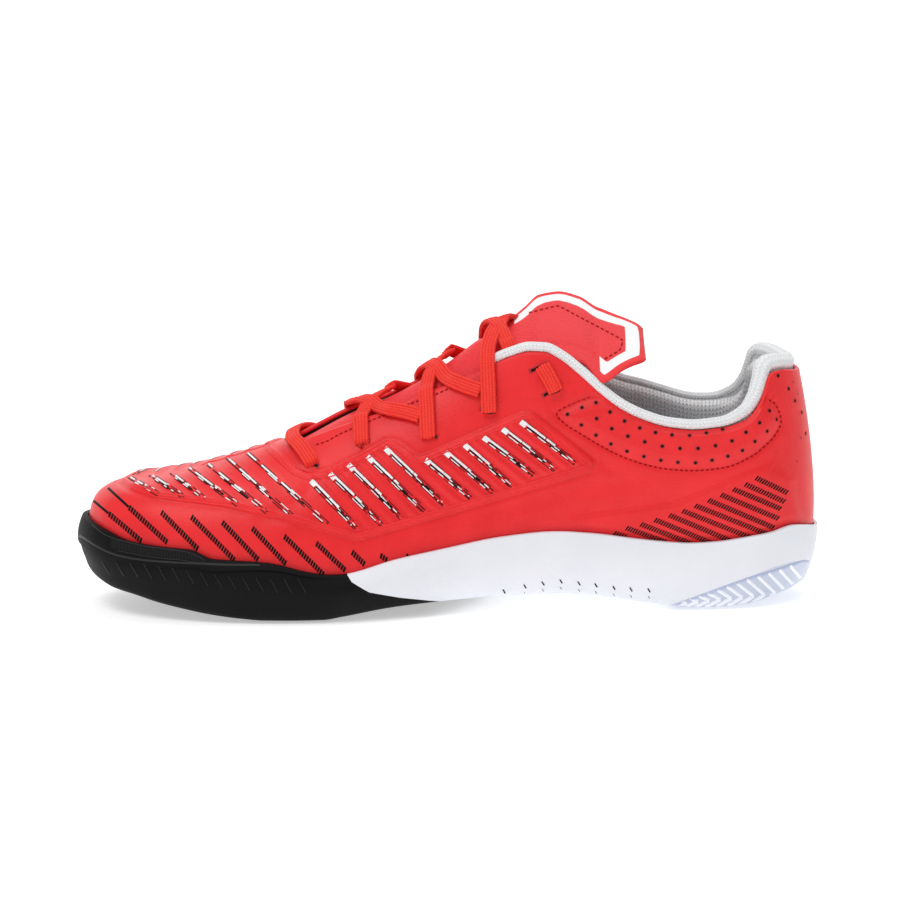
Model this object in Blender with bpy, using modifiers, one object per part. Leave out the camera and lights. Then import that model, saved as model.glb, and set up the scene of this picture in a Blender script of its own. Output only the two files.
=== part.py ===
"""Indoor soccer shoe for a right foot, about EU 43, standing empty on its sole.

Metres, +Z up. The toe points along -X and the inner side of the foot faces -Y. The origin lies on the
floor, in the middle of the shoe's length and width.
"""
import math

import bmesh
import bpy
import numpy as np
from mathutils import Vector

MM = 0.001

# Driving sizes of the last, the form that the shoe is built on
LENGTH = 290 * MM
BALL_WIDTH = 102.4 * MM
INSTEP_HEIGHT = 93 * MM
HEEL_HEIGHT = 91 * MM
SIDE_HEIGHT = 30 * MM
STACK_HEIGHT = 19 * MM
TOE_SPRING = 14 * MM
ARCH_HEIGHT = 6.5 * MM

# Thicknesses and clearances
UPPER_WALL = 2.0 * MM
INSOLE_THICKNESS = 4.0 * MM
SIDE_LIP = 2.2 * MM
SEAT_INSET = 5.0 * MM
UNDER_INSET = 4.5 * MM
UNDER_CHAMFER = 1.4 * MM
GAP = 0.3 * MM
CUP_CLEARANCE = 0.5 * MM
INSOLE_CLEARANCE = 0.8 * MM
LINING_TOP = 3.4 * MM
LINING_HEM = 1.0 * MM
BINDING_RADIUS = 2.3 * MM
TONGUE_THICKNESS = 4.2 * MM
LACE_WIDTH = 7.0 * MM
LACE_THICKNESS = 1.7 * MM
PANEL_BASE = 0.5 * MM
PANEL_RIB = 1.0 * MM

# Tread and the side of the sole
GROOVE_WIDTH = 3.0 * MM
GROOVE_DEPTH = 2.0 * MM
PIVOT_RADIUS = 17.0 * MM
PIVOT_GROOVE = 2.4 * MM

LEDGE_STEP = 0.8 * MM
RIB_DEPTH = 0.9 * MM
RIB_WIDTH = 1.1 * MM
RIB_PITCH = 4.6 * MM

# How finely the surfaces are cut into faces
HEEL_FAN = 7
TOE_FAN = 7
BACK_STATIONS = 19
VAMP_STATIONS = 4
CUP_ROWS = 2
WALL_ROWS = 8
LOWER_SIDE_ROWS = 4
UPPER_SIDE_ROWS = 2
SLOPE_STEP = 0.004
EDGE_STEP = 0.02

# The outline of the sole from above, from the toe tip (0) to the back of the heel (1).
# inner and outer are shares of the ball width, measured from the middle line.
PLAN_COLUMNS = ("along", "inner", "outer")
PLAN = (
    (0.018, 0.225, 0.118),
    (0.045, 0.322, 0.212),
    (0.090, 0.402, 0.302),
    (0.155, 0.461, 0.390),
    (0.230, 0.493, 0.456),
    (0.300, 0.500, 0.490),
    (0.365, 0.478, 0.500),
    (0.450, 0.425, 0.487),
    (0.530, 0.381, 0.455),
    (0.610, 0.352, 0.415),
    (0.690, 0.341, 0.383),
    (0.770, 0.341, 0.362),
    (0.850, 0.337, 0.350),
    (0.915, 0.303, 0.312),
    (0.962, 0.222, 0.228),
    (0.990, 0.115, 0.118),
)
TOE_TIP_SIDE = 0.055
TOE_CENTRE = 0.172
HEEL_CENTRE = 0.876

# The last's middle line: how far it lies towards the inner side, as a share of the ball width.
SPINE_COLUMNS = ("along", "inward")
SPINE = (
    (0.000, 0.055),
    (0.172, 0.045),
    (0.450, 0.020),
    (0.800, 0.000),
    (1.000, 0.000),
)

# Sections across the last. ridge is a share of the instep height, rise of the instep height above
# the seat, seat of the seat's inset, lean of the ball width, and crown of the half width there.
SECTION_COLUMNS = (
    "along", "ridge", "rise", "seat", "lean_in", "lean_out", "crown_in", "crown_out"
)
SECTIONS = (
    (0.000, 0.490, 0.385, 0.90, 0.020, 0.020, 0.70, 0.70),
    (0.090, 0.550, 0.345, 0.95, 0.024, 0.018, 0.68, 0.66),
    (0.172, 0.613, 0.315, 1.00, 0.024, 0.014, 0.64, 0.60),
    (0.230, 0.650, 0.300, 1.00, 0.022, 0.012, 0.62, 0.58),
    (0.285, 0.694, 0.285, 1.00, 0.012, 0.004, 0.56, 0.60),
    (0.365, 0.815, 0.270, 1.00, -0.006, -0.010, 0.44, 0.66),
    (0.431, 0.905, 0.275, 1.00, -0.020, -0.026, 0.50, 0.58),
    (0.476, 0.984, 0.290, 1.00, -0.020, -0.030, 0.60, 0.58),
    (0.530, 1.108, 0.315, 1.00, -0.014, -0.026, 0.60, 0.58),
    (0.584, 1.272, 0.345, 1.00, -0.006, -0.016, 0.62, 0.62),
    (0.610, 1.331, 0.365, 1.00, 0.000, -0.008, 0.66, 0.66),
    (0.690, 1.420, 0.385, 1.00, 0.006, 0.000, 0.70, 0.70),
    (0.770, 1.490, 0.410, 0.95, 0.012, 0.006, 0.74, 0.74),
    (0.850, 1.570, 0.400, 0.85, 0.026, 0.024, 0.72, 0.72),
    (0.940, 1.620, 0.350, 0.70, 0.055, 0.055, 0.64, 0.64),
    (1.000, 1.640, 0.320, 0.62, 0.074, 0.074, 0.57, 0.57),
)

# The sole from the side. top is a share of the side height, floor of the stack height, spring of the
# toe spring, arch of the arch height and bevel of the stack height.
SOLE_COLUMNS = ("along", "top_in", "top_out", "floor", "spring", "arch_in", "arch_out", "bevel")
SOLE = (
    (0.000, 1.190, 1.190, 1.080, 1.080, 0.00, 0.00, 0.0),
    (0.030, 1.130, 1.130, 1.060, 0.860, 0.00, 0.00, 0.0),
    (0.070, 0.960, 0.960, 0.960, 0.640, 0.00, 0.00, 0.0),
    (0.120, 0.840, 0.840, 0.820, 0.400, 0.00, 0.00, 0.0),
    (0.165, 0.775, 0.775, 0.700, 0.215, 0.00, 0.00, 0.0),
    (0.185, 0.700, 0.700, 0.660, 0.140, 0.00, 0.00, 0.0),
    (0.225, 0.700, 0.700, 0.600, 0.040, 0.00, 0.00, 0.0),
    (0.255, 0.695, 0.695, 0.570, 0.000, 0.00, 0.00, 0.0),
    (0.270, 0.690, 0.690, 0.560, 0.000, 0.00, 0.00, 0.0),
    (0.315, 0.590, 0.600, 0.550, 0.000, 0.00, 0.00, 0.0),
    (0.335, 0.550, 0.565, 0.555, 0.000, 0.00, 0.00, 0.0),
    (0.356, 0.520, 0.540, 0.560, 0.000, 0.08, 0.04, 0.0),
    (0.430, 0.660, 0.640, 0.610, 0.000, 0.36, 0.20, 0.0),
    (0.500, 0.790, 0.740, 0.680, 0.000, 0.58, 0.32, 0.0),
    (0.570, 0.930, 0.840, 0.780, 0.000, 0.86, 0.46, 0.0),
    (0.640, 1.020, 0.900, 0.880, 0.000, 1.00, 0.52, 0.0),
    (0.690, 1.010, 0.910, 0.940, 0.000, 0.86, 0.44, 0.0),
    (0.750, 0.950, 0.890, 0.980, 0.000, 0.44, 0.24, 0.0),
    (0.800, 0.890, 0.865, 1.000, 0.000, 0.10, 0.06, 0.0),
    (0.820, 0.865, 0.855, 1.000, 0.000, 0.00, 0.00, 0.0),
    (0.850, 0.850, 0.850, 1.000, 0.000, 0.00, 0.00, 0.0),
    (0.905, 0.865, 0.865, 1.000, 0.000, 0.00, 0.00, 0.0),
    (0.935, 0.930, 0.930, 1.000, 0.000, 0.00, 0.00, 0.04),
    (0.960, 0.950, 0.950, 1.000, 0.000, 0.00, 0.00, 0.12),
    (0.982, 0.900, 0.900, 1.000, 0.000, 0.00, 0.00, 0.22),
    (1.000, 0.820, 0.820, 1.000, 0.000, 0.00, 0.00, 0.34),
)

# The top line of the collar from the side, as shares of the length and of the heel height.
COLLAR_COLUMNS = ("along", "height")
COLLAR = (
    (0.540, 1.016),
    (0.555, 1.034),
    (0.584, 1.070),
    (0.610, 1.093),
    (0.631, 1.090),
    (0.652, 1.058),
    (0.679, 0.990),
    (0.706, 0.912),
    (0.733, 0.848),
    (0.760, 0.806),
    (0.793, 0.774),
    (0.827, 0.763),
    (0.861, 0.775),
    (0.895, 0.822),
    (0.921, 0.905),
    (0.938, 0.985),
    (0.950, 1.008),
    (0.969, 1.004),
    (1.000, 1.000),
)

# Half the width of the lacing throat, as shares of the length and of the ball width. The stations
# crowd together where its front end turns, at these shares of the length behind it.
THROAT_FRONT = 0.281
THROAT_CURVE = (0.045, 0.026, 0.012, 0.004, 0.0)
THROAT_COLUMNS = ("along", "half")
THROAT = (
    (0.281, 0.000),
    (0.285, 0.050),
    (0.296, 0.085),
    (0.320, 0.105),
    (0.420, 0.128),
    (0.520, 0.155),
    (0.590, 0.180),
    (0.640, 0.192),
    (0.700, 0.200),
)


def smooth_curve(knots, values):
    """A curve through the values that never overshoots them, as a function of one number."""
    knots = np.asarray(knots, float)
    values = np.asarray(values, float)
    steps = np.diff(knots)
    slopes = np.diff(values) / steps
    tangents = np.zeros(len(knots))
    tangents[0], tangents[-1] = slopes[0], slopes[-1]
    for i in range(1, len(knots) - 1):
        before, after = slopes[i - 1], slopes[i]
        if before * after > 0:
            near = 2 * steps[i] + steps[i - 1]
            far = steps[i] + 2 * steps[i - 1]
            tangents[i] = (near + far) / (near / before + far / after)

    def at(where):
        where = np.clip(where, knots[0], knots[-1])
        i = np.clip(np.searchsorted(knots, where, side="right") - 1, 0, len(steps) - 1)
        s = (where - knots[i]) / steps[i]
        return (
            (1 + 2 * s) * (1 - s) ** 2 * values[i]
            + s * (1 - s) ** 2 * steps[i] * tangents[i]
            + s * s * (3 - 2 * s) * values[i + 1]
            - s * s * (1 - s) * steps[i] * tangents[i + 1]
        )

    return at


def table_curves(columns, rows):
    """One smooth curve for each named column, over the first column."""
    along = [row[0] for row in rows]
    return {
        name: smooth_curve(along, [row[i] for row in rows])
        for i, name in enumerate(columns)
        if i
    }


SECTION = table_curves(SECTION_COLUMNS, SECTIONS)
SIDE = table_curves(SOLE_COLUMNS, SOLE)
COLLAR_LINE = table_curves(COLLAR_COLUMNS, COLLAR)["height"]
THROAT_LINE = table_curves(THROAT_COLUMNS, THROAT)["half"]
SPINE_LINE = table_curves(SPINE_COLUMNS, SPINE)["inward"]


def place(share):
    """X of a share of the length, from the toe tip to the back of the heel."""
    return (share - 0.5) * LENGTH


def share_of(x):
    return x / LENGTH + 0.5


def round_loop(points, per=14):
    """A closed smooth loop through points, with centripetal spacing, as a dense outline."""
    points = np.asarray(points, float)
    count = len(points)
    dense = []
    for i in range(count):
        a, b, c, d = (points[(i + k) % count] for k in (-1, 0, 1, 2))
        ta, tb, tc = (np.linalg.norm(q - p) ** 0.5 for p, q in ((a, b), (b, c), (c, d)))
        leave = ((b - a) / ta - (c - a) / (ta + tb) + (c - b) / tb) * tb
        arrive = ((c - b) / tb - (d - b) / (tb + tc) + (d - c) / tc) * tb
        for s in np.arange(per) / per:
            dense.append(
                (1 + 2 * s) * (1 - s) ** 2 * b
                + s * (1 - s) ** 2 * leave
                + s * s * (3 - 2 * s) * c
                - s * s * (1 - s) * arrive
            )
    return np.array(dense)


# The ledge round the toe: how high up the sole's side it runs, and how much of its step is left.
# Its tread rises by this share of what is left above it.
LEDGE_COLUMNS = ("along", "height", "step")
LEDGE = (
    (0.000, 0.50, 1.00),
    (0.040, 0.56, 1.00),
    (0.130, 0.68, 1.00),
    (0.220, 0.85, 1.00),
    (0.300, 0.92, 0.80),
    (0.370, 0.94, 0.00),
    (1.000, 0.94, 0.00),
)
LEDGE_TREAD = 0.04
LEDGE_CURVES = table_curves(LEDGE_COLUMNS, LEDGE)
LEDGE_LINE = LEDGE_CURVES["height"]
LEDGE_FADE = LEDGE_CURVES["step"]


def plan_outline():
    inner = [(place(a), -i * BALL_WIDTH) for a, i, _ in PLAN]
    outer = [(place(a), o * BALL_WIDTH) for a, _, o in PLAN]
    toe = [(place(0.0), -TOE_TIP_SIDE * BALL_WIDTH)]
    heel = [(place(1.0), 0.0)]
    return round_loop(toe + inner + heel + outer[::-1])


OUTLINE = plan_outline()


def reach(start, heading):
    """How far the outline of the sole is from start along heading."""
    first = OUTLINE
    edge = np.roll(OUTLINE, -1, axis=0) - first
    offset = first - start
    cross = heading[0] * edge[:, 1] - heading[1] * edge[:, 0]
    cross = np.where(np.abs(cross) < 1e-12, 1e-12, cross)
    distance = (offset[:, 0] * edge[:, 1] - offset[:, 1] * edge[:, 0]) / cross
    along = (offset[:, 0] * heading[1] - offset[:, 1] * heading[0]) / cross
    hit = (distance > 0) & (along >= -1e-9) & (along <= 1 + 1e-9)
    return distance[hit].max()


class Column:
    """One upright plane of the last: it starts on the spine and faces one point of the outline."""

    def __init__(self, share, degrees, side):
        angle = math.radians(degrees)
        self.side = side
        self.suffix = "in" if side < 0 else "out"
        self.start = np.array([place(share), -SPINE_LINE(share) * BALL_WIDTH])
        self.heading = np.array([math.cos(angle), side * math.sin(angle)])
        self.reach = reach(self.start, self.heading)
        self.spine_share = share
        self.share = share_of(self.start[0] + self.reach * self.heading[0])
        self.slope = self.ridge_slope() * self.heading[0]
        self.control = self.section_control()
        self.rim_t = self.find(lambda rho, z: z - self.side_top())
        self.top_t = self.find_top()

    def plan(self, rho):
        return self.start + self.heading * rho

    def point(self, rho, z):
        x, y = self.plan(rho)
        return np.array([x, y, z])

    def ridge(self):
        return SECTION["ridge"](self.spine_share) * INSTEP_HEIGHT

    def ridge_slope(self):
        ahead, behind = self.spine_share - SLOPE_STEP, self.spine_share + SLOPE_STEP
        rise = SECTION["ridge"](behind) - SECTION["ridge"](ahead)
        return rise * INSTEP_HEIGHT / (2 * SLOPE_STEP * LENGTH)

    def side_top(self):
        return SIDE["top_" + self.suffix](self.share) * SIDE_HEIGHT

    def floor(self):
        return SIDE["floor"](self.share) * STACK_HEIGHT

    def under(self, rho):
        """Height of the sole's underside, which rises at the toe, under the arch and at the heel."""
        share = share_of(self.plan(rho)[0])
        arch_side = SIDE["arch_" + self.suffix](share)
        arch_middle = 0.5 * (SIDE["arch_in"](share) + SIDE["arch_out"](share))
        blend = min(1.0, max(0.0, rho / self.reach))
        arch = arch_middle * (1 - blend) + arch_side * blend
        return (
            SIDE["spring"](share) * TOE_SPRING
            + arch * ARCH_HEIGHT
            + SIDE["bevel"](share) * STACK_HEIGHT
        )

    def section_control(self):
        """Four control points of the last's section in this plane, as distance out and height."""
        seat = self.reach - SEAT_INSET * SECTION["seat"](self.share)
        base = self.floor() + 2 * GAP
        rise = SECTION["rise"](self.share) * INSTEP_HEIGHT
        lean = SECTION["lean_" + self.suffix](self.share) * BALL_WIDTH
        crown = SECTION["crown_" + self.suffix](self.share) * self.reach
        ridge = self.ridge()
        return np.array(
            [
                (seat, base),
                (seat + lean, base + rise),
                (crown, ridge + self.slope * crown),
                (0.0, ridge),
            ]
        )

    def floor_at(self, rho):
        """Height of the cup's floor at a distance out, which follows the length of the shoe."""
        return SIDE["floor"](share_of(self.plan(rho)[0])) * STACK_HEIGHT

    def section(self, t):
        """Distance out from the spine and height at t, from the seat (0) to the ridge (1)."""
        a, b, c, d = self.control
        return (1 - t) ** 3 * a + 3 * (1 - t) ** 2 * t * b + 3 * (1 - t) * t * t * c + t**3 * d

    def find(self, above):
        """The first t at which above(rho, z) is no longer negative."""
        low = 0.0
        for t in np.linspace(0.0, 1.0, 161)[1:]:
            if above(*self.section(t)) >= 0:
                high = t
                break
            low = t
        else:
            return 1.0
        for _ in range(30):
            middle = 0.5 * (low + high)
            if above(*self.section(middle)) >= 0:
                high = middle
            else:
                low = middle
        return 0.5 * (low + high)

    def find_top(self):
        """Where the wall ends: at the ridge, at the throat or at the collar."""

        def collar(rho, z):
            share = share_of(self.plan(rho)[0])
            return z - COLLAR_LINE(max(share, COLLAR[0][0])) * HEEL_HEIGHT

        def throat(rho, z):
            return THROAT_LINE(self.spine_share) * BALL_WIDTH - rho

        tops = [1.0]
        if self.spine_share > THROAT_FRONT + 1e-6:
            tops.append(self.find(throat))
        if self.spine_share > COLLAR[0][0]:
            tops.append(self.find(collar))
        return min(tops)

    def rows(self):
        """The t of each row of the upper: the seat, the rows in the sole's cup, then the wall."""
        cup = [self.rim_t * i / CUP_ROWS for i in range(CUP_ROWS + 1)]
        wall = [
            self.rim_t + (self.top_t - self.rim_t) * i / WALL_ROWS
            for i in range(1, WALL_ROWS + 1)
        ]
        return cup + wall


def column_list(side):
    """Columns of one side, from the middle of the heel to the middle of the toe."""
    heel = [Column(HEEL_CENTRE, 90.0 * i / HEEL_FAN, side) for i in range(HEEL_FAN)]
    throat = THROAT_FRONT + np.array(THROAT_CURVE)
    back = np.linspace(HEEL_CENTRE, throat[0], BACK_STATIONS)[:-1]
    vamp = np.linspace(THROAT_FRONT, TOE_CENTRE, VAMP_STATIONS + 1)[1:]
    middle = [Column(share, 90.0, side) for share in (*back, *throat, *vamp)]
    toe = [Column(TOE_CENTRE, 90.0 + 90.0 * i / TOE_FAN, side) for i in range(1, TOE_FAN + 1)]
    return heel + middle + toe


INNER = column_list(-1)
OUTER = column_list(1)
# Once around the shoe: along the inner side to the toe and back along the outer side.
ROUND = INNER + OUTER[-2:0:-1]


def face_grid(rows, closed=False, flip=False):
    """Four-sided faces between neighbouring rows of point indices."""
    faces = []
    pairs = zip(rows, rows[1:] + rows[:1]) if closed else zip(rows, rows[1:])
    for first, second in pairs:
        for i in range(len(first) - 1):
            face = (first[i], second[i], second[i + 1], first[i + 1])
            faces.append(face[::-1] if flip else face)
    return faces


def new_mesh(name, points, faces, material, weld=1e-6):
    """An object from points and faces, with the points that coincide made one."""
    mesh = bpy.data.meshes.new(name)
    mesh.from_pydata([tuple(p) for p in points], [], faces)
    work = bmesh.new()
    work.from_mesh(mesh)
    bmesh.ops.remove_doubles(work, verts=work.verts, dist=weld)
    bmesh.ops.dissolve_degenerate(work, edges=work.edges, dist=weld)
    bmesh.ops.recalc_face_normals(work, faces=work.faces)
    work.to_mesh(mesh)
    work.free()
    obj = bpy.data.objects.new(name, mesh)
    parts_collection().objects.link(obj)
    mesh.materials.append(material)
    mesh.shade_smooth()
    mesh.set_sharp_from_angle(angle=math.radians(40))
    return obj


def named_collection(name):
    found = bpy.data.collections.get(name)
    if found is None:
        found = bpy.data.collections.new(name)
        bpy.context.scene.collection.children.link(found)
    return found


def parts_collection():
    return named_collection("indoor_soccer_shoe")


def cutters_collection():
    return named_collection("cutters")


def finish(name, colour, roughness, metallic=0.0):
    material = bpy.data.materials.new(name)
    material.use_nodes = True
    shader = material.node_tree.nodes["Principled BSDF"]
    shader.inputs["Base Color"].default_value = (*colour, 1.0)
    shader.inputs["Roughness"].default_value = roughness
    shader.inputs["Metallic"].default_value = metallic
    return material


def closed_loft(name, profiles, material):
    """A solid of revolution-like form: closed profiles that meet on the spine, once around."""
    count = len(profiles[0])
    points = [p for profile in profiles for p in profile]
    rows = [list(range(i * count, (i + 1) * count)) for i in range(len(profiles))]
    return new_mesh(name, points, face_grid(rows, closed=True), material)


def slab(name, near, far, material, closed=False):
    """A solid between two grids of points with the same layout, with its edges filled."""
    rows, width = len(near), len(near[0])
    points = [p for grid in (near, far) for row in grid for p in row]
    lower = [[i * width + j for j in range(width)] for i in range(rows)]
    upper = [[rows * width + index for index in row] for row in lower]
    faces = face_grid(lower, closed) + face_grid(upper, closed, flip=True)
    for edge_low, edge_high in (
        ([row[0] for row in lower], [row[0] for row in upper]),
        ([row[-1] for row in lower], [row[-1] for row in upper]),
    ):
        for i in range(rows if closed else rows - 1):
            k = (i + 1) % rows
            faces.append((edge_low[i], edge_low[k], edge_high[k], edge_high[i]))
    if not closed:
        for low, high in ((lower[0], upper[0]), (lower[-1], upper[-1])):
            for j in range(width - 1):
                faces.append((low[j], low[j + 1], high[j + 1], high[j]))
    return new_mesh(name, points, faces, material)


def surface_point(column, t, out=0.0):
    """A point of the last's surface, moved out along the surface's own normal in 3D."""
    rho, z = column.section(t)
    base = column.point(rho, z)
    if not out:
        return base
    return base + surface_normal(column, t) * out


def surface_normal(column, t):
    """Outward normal, from a small step along the section and one to a neighbouring plane."""
    low, high = max(0.0, t - SLOPE_STEP), min(1.0, t + SLOPE_STEP)
    along = column.point(*column.section(high)) - column.point(*column.section(low))
    around = column.tangent(t)
    normal = np.cross(along, around)
    size = np.linalg.norm(normal)
    if size < 1e-12:
        return np.array([0.0, 0.0, 1.0])
    normal /= size
    middle = column.point(0.0, 0.5 * column.ridge())
    base = column.point(*column.section(t))
    return normal if np.dot(normal, base - middle) > 0 else -normal


def link_tangents(columns):
    """Gives each column the direction from one neighbour to the other, at the same t."""
    count = len(columns)
    for i, column in enumerate(columns):
        before, after = columns[i - 1], columns[(i + 1) % count]

        def tangent(t, before=before, after=after):
            return after.point(*after.section(t)) - before.point(*before.section(t))

        column.tangent = tangent


def build_upper(material):
    """The one-piece upper: an open skin over the last with a wall turned inwards."""
    points, rows = [], []
    for column in ROUND:
        row = []
        for t in column.rows():
            row.append(len(points))
            points.append(surface_point(column, t))
        rows.append(row)
    upper = new_mesh("upper", points, face_grid(rows, closed=True), material)
    orient_outwards(upper)
    wall = upper.modifiers.new("wall", "SOLIDIFY")
    wall.thickness = UPPER_WALL
    wall.offset = -1.0
    wall.use_even_offset = True
    wall.use_rim = True
    return upper


def orient_outwards(obj):
    """Turns an open skin's faces so that they look away from the middle of the shoe."""
    work = bmesh.new()
    work.from_mesh(obj.data)
    bmesh.ops.recalc_face_normals(work, faces=work.faces)
    balance = sum(
        face.normal.dot(Vector((0, face.calc_center_median().y, 0))) * face.calc_area()
        for face in work.faces
    )
    if balance < 0:
        bmesh.ops.reverse_faces(work, faces=work.faces)
    work.to_mesh(obj.data)
    work.free()


def side_wall(column, inset=0.0):
    """The sole's side in one plane, from its lower edge to its lip, with the ledge round the toe."""
    rim_rho, rim_z = column.section(column.rim_t)
    edge = column.reach - UNDER_INSET
    lip = min(rim_rho + CUP_CLEARANCE + SIDE_LIP, column.reach)
    edge_z = column.under(edge) + 0.6 * UNDER_CHAMFER
    mean = 0.5 * (edge + lip)
    spread = lip - edge
    room = max(column.reach - mean, abs(spread) / 2)
    bulge = 0.5 * (room + math.sqrt(max(0.0, room * room - spread * spread / 4)))
    ledge = LEDGE_LINE(column.share)
    step = LEDGE_STEP * LEDGE_FADE(column.share)
    rows = [
        (ledge * i / LOWER_SIDE_ROWS, step * min(1.0, i / 2)) for i in range(LOWER_SIDE_ROWS + 1)
    ]
    for i in range(UPPER_SIDE_ROWS + 1):
        above = LEDGE_TREAD + (1 - LEDGE_TREAD) * i / UPPER_SIDE_ROWS
        rows.append((ledge + (1 - ledge) * above, 0.0))
    wall = []
    for s, recess in rows:
        out = edge + spread * s + 4 * bulge * s * (1 - s) - recess - inset
        wall.append((out, edge_z + (rim_z - edge_z) * s))
    return wall


def sole_profile(column):
    """The cup sole in one plane: underside, side wall, lip, inside of the cup and its floor."""
    edge = column.reach - UNDER_INSET
    profile = [
        (0.0, column.under(0.0)),
        (0.5 * edge, column.under(0.5 * edge)),
        (edge - UNDER_CHAMFER, column.under(edge - UNDER_CHAMFER)),
    ]
    profile += side_wall(column)
    for i in range(CUP_ROWS, -1, -1):
        rho, z = column.section(column.rim_t * i / CUP_ROWS)
        profile.append((rho + CUP_CLEARANCE, z if i else column.floor()))
    seat = profile[-1][0]
    profile += [(0.5 * seat, column.floor_at(0.5 * seat)), (0.0, column.floor_at(0.0))]
    return [column.point(rho, z) for rho, z in profile]


def core_profile(column):
    """What lies behind the ribs' depth in one plane, far past the sole's top and bottom."""
    wall = side_wall(column, inset=RIB_DEPTH)
    low, high = (wall[0][0], -STACK_HEIGHT), (wall[-1][0], 3 * STACK_HEIGHT)
    profile = [(0.0, low[1]), low, *wall, high, (0.0, high[1])]
    return [column.point(rho, z) for rho, z in profile]


def prism(name, *outlines, half_width=BALL_WIDTH):
    """A cutter: outlines in the side view, as X and Z, each carried across the whole width."""
    points, faces = [], []
    for outline in outlines:
        first, count = len(points), len(outline)
        points += [(x, y, z) for y in (-half_width, half_width) for x, z in outline]
        faces.append(tuple(range(first, first + count)))
        faces.append(tuple(range(first + 2 * count - 1, first + count - 1, -1)))
        for i in range(first, first + count):
            k = first + (i - first + 1) % count
            faces.append((i, i + count, k + count, k))
    cutter = new_mesh(name, points, faces, bpy.data.materials["rubber_black"])
    parts_collection().objects.unlink(cutter)
    cutters_collection().objects.link(cutter)
    cutter.hide_render = True
    cutter.display_type = "WIRE"
    return cutter


def cut(obj, cutter, operation="DIFFERENCE"):
    step = obj.modifiers.new(cutter.name, "BOOLEAN")
    step.operation = operation
    step.object = cutter
    step.solver = "EXACT"


# Where the black forefoot rubber ends against the pale midsole, and the heel pad's outline from the
# side: shares of the length and of the side height.
OUTLINE_COLUMNS = ("along", "height")
SPLIT = (
    (0.350, 0.80),
    (0.356, 0.52),
    (0.395, 0.40),
    (0.436, 0.29),
    (0.490, 0.18),
    (0.546, 0.165),
    (0.552, -0.20),
)
HEEL_PAD = (
    (0.786, -0.20),
    (0.796, 0.07),
    (0.840, 0.24),
    (0.894, 0.42),
    (0.935, 0.53),
    (0.962, 0.56),
    (0.980, 0.50),
    (0.988, 0.36),
    (0.988, -0.20),
)


# Points well outside the sole, for the cutters: in front of the toe, under the floor and over the rim.
FRONT_EDGE = -0.10
BELOW = -0.2
ABOVE = 2.0
PAD_MIDDLE = (0.90, 0.0)

# The chevron ribs in the heel pad: their number, where the last one's point lies, how far its lower
# and upper arm reach forward of it, and the heights of the arms' ends and of the point.
RIB_COUNT = 8
RIB_LAST = 0.974
RIB_LOWER_ARM = 0.026
RIB_UPPER_ARM = 0.021
RIB_LOW, RIB_POINT, RIB_HIGH = 0.05, 0.27, 0.62


def side_outline(rows):
    return [(place(a), h * SIDE_HEIGHT) for a, h in rows]


def chevron(point_x):
    """One rib in the side view: an arm up and forward and an arm down and forward of its point."""
    line = [
        (point_x - RIB_LOWER_ARM * LENGTH, RIB_LOW * SIDE_HEIGHT),
        (point_x, RIB_POINT * SIDE_HEIGHT),
        (point_x - RIB_UPPER_ARM * LENGTH, RIB_HIGH * SIDE_HEIGHT),
    ]
    return line + [(x + RIB_WIDTH, z) for x, z in line[::-1]]


def cut_heel_ribs(heel_pad, pad_outline):
    """Chevron grooves of one depth round the heel pad's side, kept inside its outline."""
    profiles = [core_profile(column) for column in ROUND]
    core = closed_loft("rib_core", profiles, heel_pad.data.materials[0])
    hide_cutter(core)
    chevrons = [chevron(place(RIB_LAST) - number * RIB_PITCH) for number in range(RIB_COUNT)]
    ribs = prism("heel_ribs", *chevrons, half_width=0.9 * BALL_WIDTH)
    cut(ribs, core)
    cut(ribs, pad_outline, "INTERSECT")
    cut(heel_pad, ribs)


def build_sole(black, white, clear):
    """The cup sole in its three mouldings: forefoot rubber, midsole and heel pad."""
    profiles = [sole_profile(column) for column in ROUND]
    split = side_outline(((FRONT_EDGE, BELOW), (FRONT_EDGE, ABOVE), (SPLIT[0][0], ABOVE), *SPLIT))
    room = split[:2] + [(x + GAP, z + GAP) for x, z in split[2:]]
    pad = side_outline(HEEL_PAD)
    (middle_x, middle_z), = side_outline((PAD_MIDDLE,))
    pad_room = [
        (x + math.copysign(GAP, x - middle_x), z + (GAP if z > middle_z else 0.0)) for x, z in pad
    ]

    outsole = closed_loft("outsole_forefoot", profiles, black)
    cut(outsole, prism("forefoot_zone", split), "INTERSECT")
    midsole = closed_loft("midsole", profiles, white)
    cut(midsole, prism("forefoot_room", room))
    cut(midsole, prism("heel_room", pad_room))
    heel_pad = closed_loft("outsole_heel", profiles, clear)
    cut(heel_pad, prism("heel_zone", pad), "INTERSECT")
    margin = [(x - math.copysign(RIB_WIDTH, x - middle_x), z - RIB_WIDTH * (z > 0)) for x, z in pad]
    cut_heel_ribs(heel_pad, prism("rib_field", margin))
    cut_tread(outsole)


# Flex grooves across the forefoot: where each crosses the middle and how far it is turned. The
# turning groove under the ball is centred at a share of the length and of the ball width.
GROOVE_COLUMNS = ("along", "degrees")
GROOVES = (
    (0.132, 14.0),
    (0.268, 10.0),
    (0.350, -8.0),
    (0.450, -12.0),
)
PIVOT_ALONG = 0.292
PIVOT_SIDE = -0.16


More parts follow.
